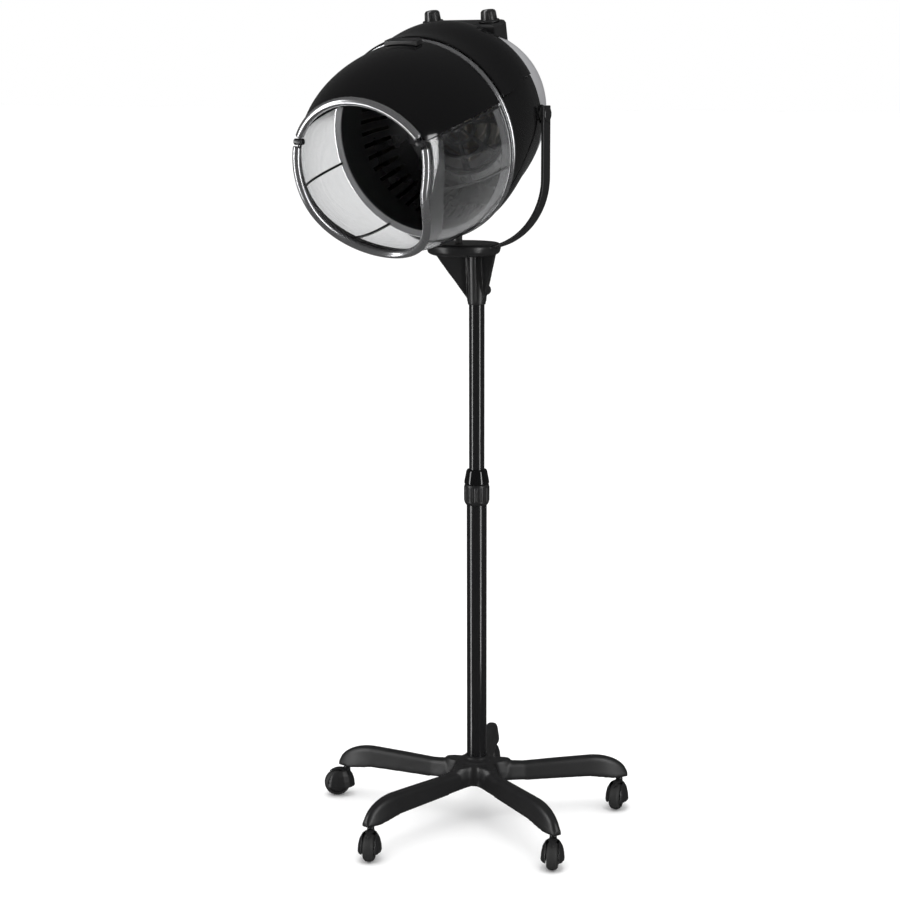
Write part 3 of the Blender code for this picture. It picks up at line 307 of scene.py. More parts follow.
def stage():
    """Camera, pale floor, three soft lights, and a bright surround that reflections see as dark."""
    camera = linked("camera", bpy.data.cameras.new("camera"))
    camera.location = CAMERA_PLACE
    camera.rotation_euler = CAMERA_TURN
    camera.data.lens, camera.data.sensor_width = LENS, SENSOR_WIDTH
    camera.data.shift_x, camera.data.shift_y = LENS_SHIFT
    bpy.context.scene.camera = camera

    floor = bpy.data.meshes.new("floor")
    reach = FLOOR_REACH
    corners = [(-reach, -reach, 0), (reach, -reach, 0), (reach, reach, 0), (-reach, reach, 0)]
    floor.from_pydata(corners, [], [(0, 1, 2, 3)])
    ground = linked("floor", floor)
    pale = bpy.data.materials.new("pale_floor")
    pale.use_nodes = True
    skin = pale.node_tree.nodes["Principled BSDF"].inputs
    skin["Base Color"].default_value = FLOOR_COLOUR
    skin["Roughness"].default_value = FLOOR_ROUGH
    floor.materials.append(pale)
    ground.visible_glossy = False

    world = bpy.data.worlds.new("studio")
    world.use_nodes = True
    bpy.context.scene.world = world
    tree = world.node_tree
    back = tree.nodes["Background"]
    back.inputs["Color"].default_value = (1, 1, 1, 1)
    seen = tree.nodes.new("ShaderNodeLightPath")
    strength = None
    for ray, gain in SURROUND_GAINS:
        add = node(tree, "ShaderNodeMath", operation="MULTIPLY_ADD")
        add.inputs[1].default_value = gain
        add.inputs[2].default_value = SURROUND
        tree.links.new(seen.outputs[ray], add.inputs[0])
        if strength:
            tree.links.new(strength, add.inputs[2])
        strength = add.outputs[0]
    tree.links.new(strength, back.inputs["Strength"])

    def soft(name, at, towards, size, power, tall=None):
        lamp = bpy.data.lights.new(name, "AREA")
        lamp.shape = "RECTANGLE"
        lamp.size, lamp.size_y = size, tall or size
        lamp.energy = power
        thing = linked(name, lamp)
        thing.location = at
        thing.rotation_euler = (Vector(towards) - Vector(at)).to_track_quat("-Z", "Y").to_euler()
        return thing

    soft("right_softbox", (2.45, -0.62, 0.85), (0, -0.15, 0.85), 0.42, 34, 2.9).visible_diffuse = False
    soft("left_strip", (-1.64, -1.89, 0.55), (0, -0.1, 0.55), 0.5, 46, 3.3).visible_diffuse = False
    soft("top_softbox", (0.2, -0.6, 3.4), (0, 0, 0), 2.4, 45).visible_glossy = False
    bpy.context.scene.view_settings.view_transform = "Standard"
    bpy.context.scene.view_settings.look = "None"


# ------------------------------------------------------------------ mesh helpers
SHARP = 38  # degrees between faces


def spread(first, last, count):
    return [first + (last - first) * k / count for k in range(count + 1)]


def shift(x, y, z):
    return Matrix.Translation((x, y, z))


def spin(angle, axis="Z"):
    return Matrix.Rotation(angle, 4, axis)


def circle(sides):
    """Angles evenly round a full turn."""
    return [2 * pi * n / sides for n in range(sides)]


FRAME_OF_HOOD = Matrix.Translation(PIVOT) @ spin(TILT, "X")


def placed(mesh, matrix):
    bmesh.ops.transform(mesh, matrix=matrix, verts=mesh.verts)
    return mesh


def together(*meshes):
    """Several bodies in one mesh."""
    whole = bmesh.new()
    for mesh in meshes:
        data = bpy.data.meshes.new("part")
        mesh.to_mesh(data)
        mesh.free()
        whole.from_mesh(data)
        bpy.data.meshes.remove(data)
    return whole


def mesh_data(name, mesh):
    """Mesh data from a bmesh, which is used up."""
    bmesh.ops.recalc_face_normals(mesh, faces=mesh.faces)
    data = bpy.data.meshes.new(name)
    mesh.to_mesh(data)
    mesh.free()
    return data


def smooth_data(name, mesh, sharp):
    """Mesh data shaded smooth, except over edges sharper than an angle in degrees."""
    data = mesh_data(name, mesh)
    data.shade_smooth()
    data.set_sharp_from_angle(angle=radians(sharp))
    return data


def taken_from(holder):
    """The mesh that an object shows with its modifiers; the object itself is removed."""
    bpy.context.view_layer.update()
    shown = holder.evaluated_get(bpy.context.evaluated_depsgraph_get())
    made = bpy.data.meshes.new_from_object(shown)
    bpy.data.objects.remove(holder, do_unlink=True)
    return made


def piece(name, mesh, look, body, *stands_for, sharp=SHARP, bevel=0.0, slot=None):
    """A shown piece from a bmesh, riding on a CAD body; it stands for CAD nodes, and its slot argument is not
    used.
    """
    data = smooth_data(name, mesh, sharp)
    made = linked(name, data)
    data.materials.append(LOOKS[look])
    if bevel:
        edge = made.modifiers.new("edge", "BEVEL")
        edge.width, edge.segments, edge.limit_method = bevel, 2, "ANGLE"
        edge.angle_limit = radians(sharp)
    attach(made, body)
    if stands_for:
        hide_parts(*stands_for)


def turned(outline, sides=96, close=True):
    """A body of revolution about Z from (radius, height) points; a radius of 0 is a pole."""
    mesh = bmesh.new()
    rings = []
    for radius, height in outline:
        count = 1 if radius == 0 else sides
        turns = [2 * pi * k / sides for k in range(count)]
        rings.append([mesh.verts.new((radius * cos(a), radius * sin(a), height)) for a in turns])
    pairs = list(zip(rings, rings[1:])) + ([(rings[-1], rings[0])] if close else [])
    for lower, upper in pairs:
        for k in range(sides):
            n = (k + 1) % sides
            corners = [ring[m % len(ring)] for ring, m in ((lower, k), (lower, n), (upper, n), (upper, k))]
            corners = list(dict.fromkeys(corners))
            if len(corners) > 2:
                mesh.faces.new(corners)
    return mesh


def rounded(outline, radius=0.0006, steps=3, close=True):
    """The outline with each of its corners rounded off."""
    points = [Vector(p) for p in outline]
    made = []
    for k, here in enumerate(points):
        before, after = points[k - 1], points[(k + 1) % len(points)]
        end = not close and k in (0, len(points) - 1)
        if end or here.x == 0:
            made.append(tuple(here))
            continue
        back, on = before - here, after - here
        reach = min(radius, back.length * 0.45, on.length * 0.45)
        a, b = here + back.normalized() * reach, here + on.normalized() * reach
        for n in range(steps + 1):
            t = n / steps
            made.append(tuple(a * (1 - t) ** 2 + here * 2 * t * (1 - t) + b * t ** 2))
    return made


def plug(outline, radius, sides, steps=3):
    """A solid body of revolution whose outline starts and ends on the axis, its corners rounded off."""
    return turned(rounded(outline, radius, steps, close=False), sides, close=False)


def lattice(place, columns, rows, kept=None, closed=False):
    """A wall of cells with a thickness; place(column, row, side) gives its corners."""
    mesh = bmesh.new()
    grid = {}

    def corner(i, j, side):
        i = i % columns if closed else i
        if (i, j, side) not in grid:
            grid[i, j, side] = mesh.verts.new(place(i, j, side))
        return grid[i, j, side]

    def solid(i, j):
        i = i % columns if closed else i
        return 0 <= i < columns and 0 <= j < rows and (kept is None or kept(i, j))

    for i in range(columns):
        for j in range(rows):
            if not solid(i, j):
                continue
            ends = [(i, j), (i + 1, j), (i + 1, j + 1), (i, j + 1)]
            for side in (0, 1):
                mesh.faces.new([corner(*end, side) for end in ends])
            for k, cell in enumerate([(i, j - 1), (i + 1, j), (i, j + 1), (i - 1, j)]):
                if not solid(*cell):
                    a, b = ends[k], ends[(k + 1) % 4]
                    mesh.faces.new([corner(*a, 0), corner(*b, 0), corner(*b, 1), corner(*a, 1)])
    return mesh


def swept(rings, closed=False):
    """A tube through rings of matching points."""
    mesh = bmesh.new()
    made = [[mesh.verts.new(point) for point in ring] for ring in rings]
    pairs = list(zip(made, made[1:])) + ([(made[-1], made[0])] if closed else [])
    for first, second in pairs:
        for k in range(len(first)):
            n = (k + 1) % len(first)
            mesh.faces.new([first[k], first[n], second[n], second[k]])
    if not closed:
        mesh.faces.new(made[0])
        mesh.faces.new(made[-1])
    return mesh


def brick(low, high):
    mesh = bmesh.new()
    bmesh.ops.create_cube(mesh, size=1)
    size, middle = Vector(high) - Vector(low), (Vector(high) + Vector(low)) / 2
    return placed(mesh, Matrix.Translation(middle) @ Matrix.Diagonal((*size, 1)))


def wrapped(points):
    """The convex hull of points."""
    mesh = bmesh.new()
    for point in points:
        mesh.verts.new(point)
    found = bmesh.ops.convex_hull(mesh, input=mesh.verts)
    inside = [g for g in found["geom_interior"] if isinstance(g, bmesh.types.BMVert)]
    bmesh.ops.delete(mesh, geom=inside, context="VERTS")
    flat = [e for e in mesh.edges if len(e.link_faces) == 2 and e.calc_face_angle(0) < 0.01]
    bmesh.ops.dissolve_edges(mesh, edges=flat, use_verts=True)
    return mesh


# ------------------------------------------------------------------ repeated features
def set_round_axis():
    """Node tree: copies of one feature set evenly round the Z axis."""
    tree = bpy.data.node_groups.new("set_round_axis", "GeometryNodeTree")
    face = tree.interface
    face.new_socket("Feature", in_out="INPUT", socket_type="NodeSocketGeometry")
    for label, kind in (("Count", "NodeSocketInt"), ("Radius", "NodeSocketFloat"),
                        ("Finish", "NodeSocketMaterial")):
        face.new_socket(label, in_out="INPUT", socket_type=kind)
    face.new_socket("Made", in_out="OUTPUT", socket_type="NodeSocketGeometry")
    start, end = tree.nodes.new("NodeGroupInput"), tree.nodes.new("NodeGroupOutput")
    ring = tree.nodes.new("GeometryNodeMeshCircle")
    copies = tree.nodes.new("GeometryNodeInstanceOnPoints")
    index = tree.nodes.new("GeometryNodeInputIndex")
    share = node(tree, "ShaderNodeMath", operation="DIVIDE")
    turn = node(tree, "ShaderNodeMath", operation="MULTIPLY")
    turn.inputs[1].default_value = 2 * pi
    axis = tree.nodes.new("ShaderNodeCombineXYZ")
    real = tree.nodes.new("GeometryNodeRealizeInstances")
    paint = tree.nodes.new("GeometryNodeSetMaterial")
    link = tree.links.new
    link(start.outputs["Count"], ring.inputs["Vertices"])
    link(start.outputs["Radius"], ring.inputs["Radius"])
    link(ring.outputs["Mesh"], copies.inputs["Points"])
    link(start.outputs["Feature"], copies.inputs["Instance"])
    link(index.outputs[0], share.inputs[0])
    link(start.outputs["Count"], share.inputs[1])
    link(share.outputs[0], turn.inputs[0])
    link(turn.outputs[0], axis.inputs["Z"])
    link(axis.outputs[0], copies.inputs["Rotation"])
    link(copies.outputs[0], real.inputs[0])
    link(real.outputs[0], paint.inputs["Geometry"])
    link(start.outputs["Finish"], paint.inputs["Material"])
    link(paint.outputs[0], end.inputs[0])
    return tree


ROUND_AXIS = set_round_axis()
OWN_RADIUS = 0.0  # each feature is already modelled at its own distance from the axis


def ring_of(name, feature, count, look, body, matrix=None):
    """Copies of a feature, modelled beside the Z axis and facing +X, as one shown piece."""
    holder = linked(name + "_seed", smooth_data(name + "_seed", feature, SHARP))
    step = holder.modifiers.new("copies", "NODES")
    step.node_group = ROUND_AXIS
    for item in ROUND_AXIS.interface.items_tree:
        if item.in_out == "INPUT" and item.name != "Feature":
            step[item.identifier] = {"Count": count, "Radius": OWN_RADIUS, "Finish": LOOKS[look]}[item.name]
    data = taken_from(holder)
    data.name = name
    if matrix:
        data.transform(matrix)
    made = linked(name, data)
    if not data.materials:
        data.materials.append(LOOKS[look])
    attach(made, body)


# ------------------------------------------------------------------ hood surface
def front_radius(station):
    """Radius of the front shell and visor at a station, measured from the back towards the mouth."""
    beyond = max(0.0, station - (RING_STATION + FRONT_SHOULDER)) / FRONT_LENGTH
    return HOOD_RADIUS * sqrt(max(0.0, 1 - beyond ** FRONT_POWER))


def rear_radius(station):
    """Radius of the rear shell and cover at a station."""
    behind = max(0.0, RING_STATION - REAR_SHOULDER - station) / REAR_LENGTH
    return REAR_RADIUS * sqrt(max(0.0, 1 - behind ** REAR_POWER))


def opening_edge(height):
    """Station of the opening's edge at a height over the hood's axis: raked above, cut back below."""
    if height >= HINGE_HEIGHT:
        return OPENING_STATION + EDGE_RAKE * (height - HINGE_HEIGHT)
    peak = OPENING_STATION + EDGE_SWELL
    if height > EDGE_CREST:
        return peak - EDGE_SWELL * ((height - EDGE_CREST) / (HINGE_HEIGHT - EDGE_CREST)) ** 1.5
    return peak - EDGE_CUT * ((EDGE_CREST - height) / EDGE_DEPTH) ** 1.6


@cache
def edge_station(angle):
    """Station at which the shell's surface meets the opening's edge, at an angle in degrees."""
    station = OPENING_STATION
    for _ in range(60):
        station = (station + opening_edge(front_radius(station) * sin(radians(angle)))) / 2
    return station


def on_hood(angle, station, radius):
    """A point given round and along the hood's axis, in the scene's frame."""
    across, up = radius * cos(radians(angle)), radius * sin(radians(angle)) - AXIS_DROP
    return FRAME_OF_HOOD @ Vector((across, PIVOT_STATION - station, up))


def rear_lift(station):
    """How far the rear's axis lies above the front's at a station."""
    share = min(1.0, max(0.0, (RING_STATION - LIFT_START - station) / LIFT_RUN))
    return REAR_LIFT * share * share * (3 - 2 * share)


def lifted(angle, station, radius):
    """As on_hood, with the rear's lift."""
    return on_hood(angle, station, radius) + FRAME_OF_HOOD.to_3x3() @ Vector((0, 0, rear_lift(station)))


def shell_end(angle):
    """Station at which the shells stop short of the rim's bead, measured square to the edge."""
    run = radians(2) * front_radius(edge_station(angle))
    slope = (edge_station(angle + 1) - edge_station(angle - 1)) / run
    return edge_station(angle) - (RIM_BEAD / 2 + GAP) * sqrt(1 + slope ** 2)


def hood_wall(angles, back, front, rows, outside, wall, closed=False, kept=None):
    """A curved wall of the hood between two stations, which may depend on the angle."""
    def place(i, j, side):
        angle = angles[i]
        station = back(angle) + (front(angle) - back(angle)) * j / rows
        return lifted(angle, station, outside(station) - (wall if side else 0))
    return lattice(place, len(angles) if closed else len(angles) - 1, rows, kept, closed)


def cover_radius(station):
    """Radius of the top cover, which rises from the rear shell's surface."""
    return rear_radius(station) + COVER_PROUD * min(1.0, 0.35 + (station - REAR_SPLIT) / 0.03)


def bead(angles, thick, sides=24):
    """A round bead along part of the opening's edge."""
    path = [on_hood(a, edge_station(a), front_radius(edge_station(a)) + RIM_PROUD) for a in angles]
    rings = []
    for k, here in enumerate(path):
        ahead = (path[min(k + 1, len(path) - 1)] - path[max(k - 1, 0)]).normalized()
        outward = (on_hood(angles[k], 0, 1) - on_hood(angles[k], 0, 0)).normalized()
        across = ahead.cross(outward).normalized()
        outward = across.cross(ahead).normalized()
        end = min(k, len(path) - 1 - k)
        girth = (0.72, 0.90, 0.97)[end] if end < 3 else 1.0
        rings.append([here + outward * (thick / 2 * girth * cos(t)) + across * (thick / 2 * girth * sin(t))
                      for t in circle(sides)])
    return swept(rings)


def edge_spread(first, last, count):
    """Angles with a fine step at each end, for a rounded tip."""
    return [first, first + 0.12, first + 0.35] + spread(first + 0.9, last - 0.9, count) + [
        last - 0.35, last - 0.12, last]


def shells():
    """The black shells, the silver ring between them and the silver bead along the opening."""
    ring_back, ring_front = RING_STATION - RING_WIDTH / 2, RING_STATION + RING_WIDTH / 2
    piece("front_shell_skin", hood_wall(
        spread(SEAM + FRONT_SEAM, 180 - SEAM - FRONT_SEAM, 120), lambda a: ring_front + GAP, shell_end, 36,
        front_radius, WALL), "gloss_black", "hood", "front_shell", bevel=0.0004)
    piece("opening_trim_bead", bead(edge_spread(SEAM + BEAD_SEAM, 180 - SEAM - BEAD_SEAM, 110), RIM_BEAD),
          "silver", "hood", "opening_trim")
    half, outer, inner = RING_WIDTH / 2, HOOD_RADIUS + RING_PROUD, HOOD_RADIUS - RING_SUNK
    groove = half * 0.30
    profile = rounded([(inner, -half), (outer - 0.0005, -half), (outer, -half * 0.7), (outer, -groove),
                       (HOOD_RADIUS + 0.0004, 0), (outer, groove), (outer, half * 0.7),
                       (outer - 0.0005, half), (inner, half)], 0.0006)
    along_hood = FRAME_OF_HOOD @ shift(0, PIVOT_STATION, -AXIS_DROP) @ spin(pi / 2, "X")
    piece("joint_ring_band", placed(turned([(r, RING_STATION + s) for r, s in profile], 200), along_hood),
          "silver", "hood", "joint_ring")
    boss = [(0, 0.132), (0.0150, 0.132), (0.0150, 0.1455), (0.0090, 0.1456), (0, 0.1456)]
    bosses = [placed(plug(boss, 0.0012, 48), FRAME_OF_HOOD @ spin(side * pi / 2, "Y")) for side, _ in SIDES]
    piece("rear_shell_skin", together(hood_wall(
        spread(180 - SEAM - REAR_SEAM, 360 + SEAM + REAR_SEAM, 150), lambda a: REAR_SPLIT + SPLIT_GAP,
        lambda a: ring_back - GAP, 30, rear_radius, WALL), *bosses), "gloss_black", "hood", "rear_shell",
        bevel=0.0004)
    piece("top_cover_skin", hood_wall(
        spread(SEAM + COVER_SEAM, 180 - SEAM - COVER_SEAM, 110), lambda a: REAR_SPLIT + SPLIT_GAP,
        lambda a: ring_back - GAP, 36, cover_radius, WALL), "gloss_black", "hood", "top_cover", bevel=0.0009)


def back_cap():
    """The grey cap at the back with its air slots."""
    steps, slot_rows, bar_extra = 6, 3, 2.2
    angles = []
    for k in range(CAP_SLOTS):
        start, stop = 360 * k / CAP_SLOTS, 360 * (k + 0.5) / CAP_SLOTS + bar_extra
        angles += spread(start, stop, steps)[:-1] + spread(stop, 360 * (k + 1) / CAP_SLOTS, steps)[:-1]
    rim = spread(REAR_SPLIT - SPLIT_GAP, BACK_STATION + 0.004, 14)
    outline = [(rear_radius(s), s) for s in rim] + [(rear_radius(BACK_STATION) - 0.003, BACK_STATION)]
    outline += [(r, BACK_STATION) for r in (0.078, 0.070, 0.058, 0.047, 0.036, 0.028, 0.0056)]
    first = len(rim) + 2

    def place(i, j, side):
        radius, station = outline[j]
        if side and j < len(rim):
            radius, station = radius - WALL, max(station, BACK_STATION + WALL)
        elif side and j == len(rim):
            radius, station = min(radius - WALL, rear_radius(BACK_STATION) - 0.006), BACK_STATION + WALL
        elif side:
            station = BACK_STATION + WALL
        return lifted(angles[i], station, radius)

    def kept(i, j):
        return not (first <= j < first + slot_rows and i % (2 * steps) >= steps)

    piece("rear_cover_skin", lattice(place, len(angles), len(outline) - 1, kept, closed=True), "grey", "hood",
          "rear_cover", bevel=0.0005)


def visor():
    """The clear visor with its ribs, brow, flange and rim bead, and the two hinge lugs on the hood."""
    first, last = 180 - SEAM + VISOR_SEAM, 360 + SEAM - VISOR_SEAM
    back = RING_STATION + RING_WIDTH / 2 + VISOR_BACK
    piece("visor_window_pane", hood_wall(
        spread(first, last, 150), lambda a: back, shell_end, 34, lambda s: front_radius(s) - 0.0002,
        VISOR_WALL), "clear", "visor", "visor_window", sharp=60)

    def lip(angle):
        return shell_end(angle) - 0.0008

    def inside(angle, station, depth):
        return on_hood(angle, station, front_radius(station) - FRAME_INSET - depth)

    def strip(angle, half, depth):
        def place(i, j, side):
            at = angle + (-half, half)[i]
            return inside(at, back + (lip(at) - back) * j / 40, depth if side else 0)
        return lattice(place, 1, 40)

    arc = spread(first + 0.4, last - 0.4, 130)
    brow_width, brow_rows, flange_width, flange_depth = 0.0235, 6, 0.0030, 0.0110

    def brow(i, j, side):
        return inside(arc[i], lip(arc[i]) - brow_width * (1 - j / brow_rows), VISOR_WALL if side else 0)

    def flange(i, j, side):
        return inside(arc[i], back + flange_width * j, flange_depth if side else 0)

    ribs = [strip(angle, 0.64, 0.0034) for angle in RIB_ANGLES]
    ribs += [strip(angle, 0.60, 0.0026) for angle in (first + 0.95, last - 0.95)]
    piece("visor_frame_ribs", together(*ribs, lattice(brow, len(arc) - 1, brow_rows)), "satin_black", "visor",
          "visor_frame", bevel=0.0003)
    # The flange's light grey is a painted reflection: the band is black plastic that shows grey only where it
    # catches light, and stays dark where it is shaded.
    piece("visor_flange", lattice(flange, len(arc) - 1, 1), "light_grey", "visor", bevel=0.0003, slot="grey")
    piece("visor_rim_bead", bead(edge_spread(180 - SEAM + BEAD_SEAM, 360 + SEAM - BEAD_SEAM, 200), RIM_BEAD),
          "silver", "visor", "visor_rim")
    for side, name in SIDES:
        angle = SEAM if side > 0 else 180 - SEAM
        station = edge_station(angle)
        middle = on_hood(angle, station, front_radius(station))
        lug = plug([(0, -LUG_HALF), (LUG_RADIUS, -LUG_HALF), (LUG_RADIUS, LUG_HALF), (0, LUG_HALF)],
                   0.0012, 40)
        piece(f"visor_hinge_lug_{name}", placed(lug, Matrix.Translation(middle) @ spin(side * pi / 2, "Y")),
              "lug", "hood", f"visor_hinge_{name}")


def inner_parts():
    """The slotted liner and the diffuser in its floor."""
    mouth, floor = RING_STATION + RING_WIDTH / 2 + 0.0015, 0.064
    radius_mouth, radius_floor = 0.1475, 0.098
    angles = []
    for k in range(LINER_SLOTS):
        angles += [360 / LINER_SLOTS * (k + share) for share in (0, 0.17, 0.36, 0.68)]
    corners = [(HOOD_RADIUS - 0.0035, mouth), (radius_mouth, mouth), (radius_mouth - 0.003, mouth - 0.030),
               (radius_mouth - 0.012, mouth - 0.070), (radius_mouth - 0.030, mouth - 0.105),
               (radius_floor + 0.003, floor + 0.002), (radius_floor - 0.010, floor)]
    last = len(corners) - 1

    def skin(k, side):
        radius, station = corners[k]
        if not side:
            return radius, station
        if k == 1:
            return radius_mouth + LINER_WALL, mouth - LINER_WALL
        station -= LINER_WALL if k in (0, last - 1, last) else LINER_WALL * 0.5
        return radius + (0 if k in (0, last) else LINER_WALL), station

    rows = [(0, 0.0), (0, 0.5), (1, 0.0), (1, 0.5), (2, 0.0), (2, 0.5), (3, 0.08), (3, 0.92), (4, 0.3),
            (4, 0.7), (5, 0.0), (6, 0.0)]

    def place(i, j, side):
        k, share = rows[j]
        a, b = skin(k, side), skin(min(k + 1, last), side)
        return on_hood(angles[i], a[1] + (b[1] - a[1]) * share, a[0] + (b[0] - a[0]) * share)

    def kept(i, j):
        return not (i % 4 in (0, 1) and j in (5, 6))

    piece("inner_liner_skin", lattice(place, len(angles), len(rows) - 1, kept, closed=True), "liner_black",
          "hood", "inner_liner", bevel=0.0004)
    pitch, spoke, spoke_steps, gap_steps = 360 // DIFFUSER_SPOKES, 9, 3, 9
    turns = []
    for k in range(DIFFUSER_SPOKES):
        start, stop = pitch * k, pitch * (k + 1)
        turns += spread(start, start + spoke, spoke_steps)[:-1] + spread(start + spoke, stop, gap_steps)[:-1]
    rings = [radius_floor - 0.0145, 0.078, 0.060, 0.054, 0.036, 0.030, 0.014, 0.004]

    def disc(i, j, side):
        dome = 0.010 * (1 - (rings[j] / rings[0]) ** 2)
        return on_hood(turns[i], floor - 0.001 + dome - (0.0025 if side else 0), rings[j])

    def solid(i, j):
        return j % 2 == 0 or i % (spoke_steps + gap_steps) < spoke_steps

    piece("air_diffuser_skin", lattice(disc, len(turns), len(rings) - 1, solid, closed=True), "satin_black",
          "hood", "air_diffuser", bevel=0.0004)


# ------------------------------------------------------------------ stand and controls
def softened(mesh, name, voxel, smooth):
    """The bodies of a mesh fused into one skin with its edges melted, as moulding leaves them."""
    holder = linked(name + "_rough", mesh_data(name + "_rough", mesh))
    fuse = holder.modifiers.new("fuse", "REMESH")
    fuse.mode, fuse.voxel_size, fuse.adaptivity = "VOXEL", voxel, 0.0
    melt = holder.modifiers.new("melt", "SMOOTH")
    melt.factor, melt.iterations = 0.5, smooth
    made = taken_from(holder)
    whole = bmesh.new()
    whole.from_mesh(made)
    bpy.data.meshes.remove(made)
    return whole


def cad_copy(name, flat=False):
    """A merged copy of a CAD node's mesh, with its flat faces joined up if asked."""
    mesh = bmesh.new()
    mesh.from_mesh(NODES[name].data)
    bmesh.ops.remove_doubles(mesh, verts=mesh.verts, dist=0.00001)
    if flat:
        bmesh.ops.dissolve_limit(mesh, angle_limit=radians(1.0), verts=mesh.verts, edges=mesh.edges)
    return mesh


def arm_stations():
    """Reach, top, bottom and half widths of an arm at the places where its section is set."""
    foot = ARM_TOP - ARM_DEPTH
    bend, tip, nose_rows = 0.205, STEM_CIRCLE + ARM_NOSE, 12
    top_half, foot_half = ARM_WIDTH_TOP / 2, ARM_WIDTH_FOOT / 2
    dip = 0.007
    drop = ARM_DEPTH + dip
    rows = [(0.012, ARM_TOP + 0.004, foot + 0.004, top_half * 1.25, foot_half * 1.15),
            (0.045, ARM_TOP + 0.001, foot + 0.004, top_half * 1.15, foot_half * 1.10),
            (0.060, ARM_TOP - 0.001, foot + 0.004, top_half * 1.10, foot_half * 1.10),
            (0.085, ARM_TOP - 0.003, foot + 0.002, top_half, foot_half),
            (0.145, ARM_TOP - 0.0012, foot + 0.001, top_half, foot_half),
            (bend, ARM_TOP, foot, top_half, foot_half)]
    for k in range(1, nose_rows + 1):
        share = k / nose_rows
        fall = drop * (1 - sqrt(1 - (0.985 * share) ** 2))
        low = foot - dip * min(1.0, share * 1.6)
        narrow = 1 - 0.50 * share ** 3
        rows.append((bend + (tip - bend) * share, max(ARM_TOP - fall * 0.95, low + 0.008), low,
                     top_half * narrow, foot_half * narrow))
    return rows


def star():
    """The moulded five-arm base: arms with a flat crown and flared sides, webs between them and a hub."""
    foot = ARM_TOP - ARM_DEPTH
    bodies = []
    for k in range(ARM_COUNT):
        rings = []
        for reach, top, low, half_top, half_foot in arm_stations():
            crown = max(0.0008, min(0.004, (top - low) * 0.2))
            side = [(half_foot, low), (half_foot, low + 0.006), (half_top + 0.001, top - crown * 1.6),
                    (half_top * 0.80, top - crown * 0.4), (half_top * 0.4, top)]
            rings.append([(reach, -y, z) for y, z in side] + [(reach, y, z) for y, z in side[::-1]])
        bodies.append(placed(swept(rings), spin(BASE_TURN + 2 * pi * k / ARM_COUNT)))
    web_reach, web_swell, web_steps = 0.0405, 0.0300, 18
    rings = []
    for height, shrink in ((foot + 0.006, 1.0), (foot + 0.020, 0.98), (HUB_TOP - 0.012, 0.90),
                           (HUB_TOP - 0.006, 0.84)):
        ring = []
        for k in range(ARM_COUNT * web_steps):
            turn = (k % web_steps) / web_steps * 2 * pi / ARM_COUNT - pi / ARM_COUNT
            reach = (web_reach + web_swell * max(0.0, cos(turn * ARM_COUNT / 2)) ** 3) * shrink
            angle = BASE_TURN + 2 * pi * (k // web_steps) / ARM_COUNT + turn
            ring.append((reach * cos(angle), reach * sin(angle), height))
        rings.append(ring)
    bodies.append(swept(rings))
    bodies.append(turned([(0, foot + 0.0031), (HUB_RADIUS - 0.002, foot + 0.0031), (HUB_RADIUS, foot + 0.010),
                          (HUB_RADIUS - 0.002, HUB_TOP - 0.006), (HUB_RADIUS - 0.007, HUB_TOP - 0.001),
                          (0.0221, HUB_TOP + 0.0005), (0.0212, HUB_TOP + HUB_NECK), (0, HUB_TOP + HUB_NECK)],
                         72, close=False))
    piece("star_base_skin", softened(together(*bodies), "star", 0.0020, 5), "base_black", "base", "star_base",
          sharp=80)


def casters():
    """Forks and tyred wheels, each turned as its own caster stands."""
    half = WHEEL_WIDTH / 2 - 0.0003
    face = [(0.0036, half * 0.8), (0.0105, half * 0.8), (0.0120, half * 0.55), (0.0165, half * 0.55),
            (0.0180, half), (WHEEL_RADIUS - 0.0045, half), (WHEEL_RADIUS - 0.0006, half * 0.62)]
    outline = [(r, -h) for r, h in face] + [(WHEEL_RADIUS, 0)] + face[::-1]
    for number, caster_turn in enumerate(CASTER_TURNS, 1):
        direction = BASE_TURN + 2 * pi * (number - 1) / ARM_COUNT
        stem = shift(STEM_CIRCLE * cos(direction), STEM_CIRCLE * sin(direction), 0)
        at = stem @ spin(radians(caster_turn)) @ shift(CASTER_TRAIL, 0, WHEEL_RADIUS) @ spin(pi / 2, "X")
        piece(f"caster_fork_skin_{number}", softened(cad_copy(f"caster_fork_{number}"), "fork", 0.0011, 3),
              "satin_black", f"caster_{number}", f"caster_fork_{number}", sharp=80)
        piece(f"caster_wheel_tyre_{number}", placed(turned(rounded(outline, 0.0009), 72), at), "rubber",
              f"wheel_{number}", f"caster_wheel_{number}")


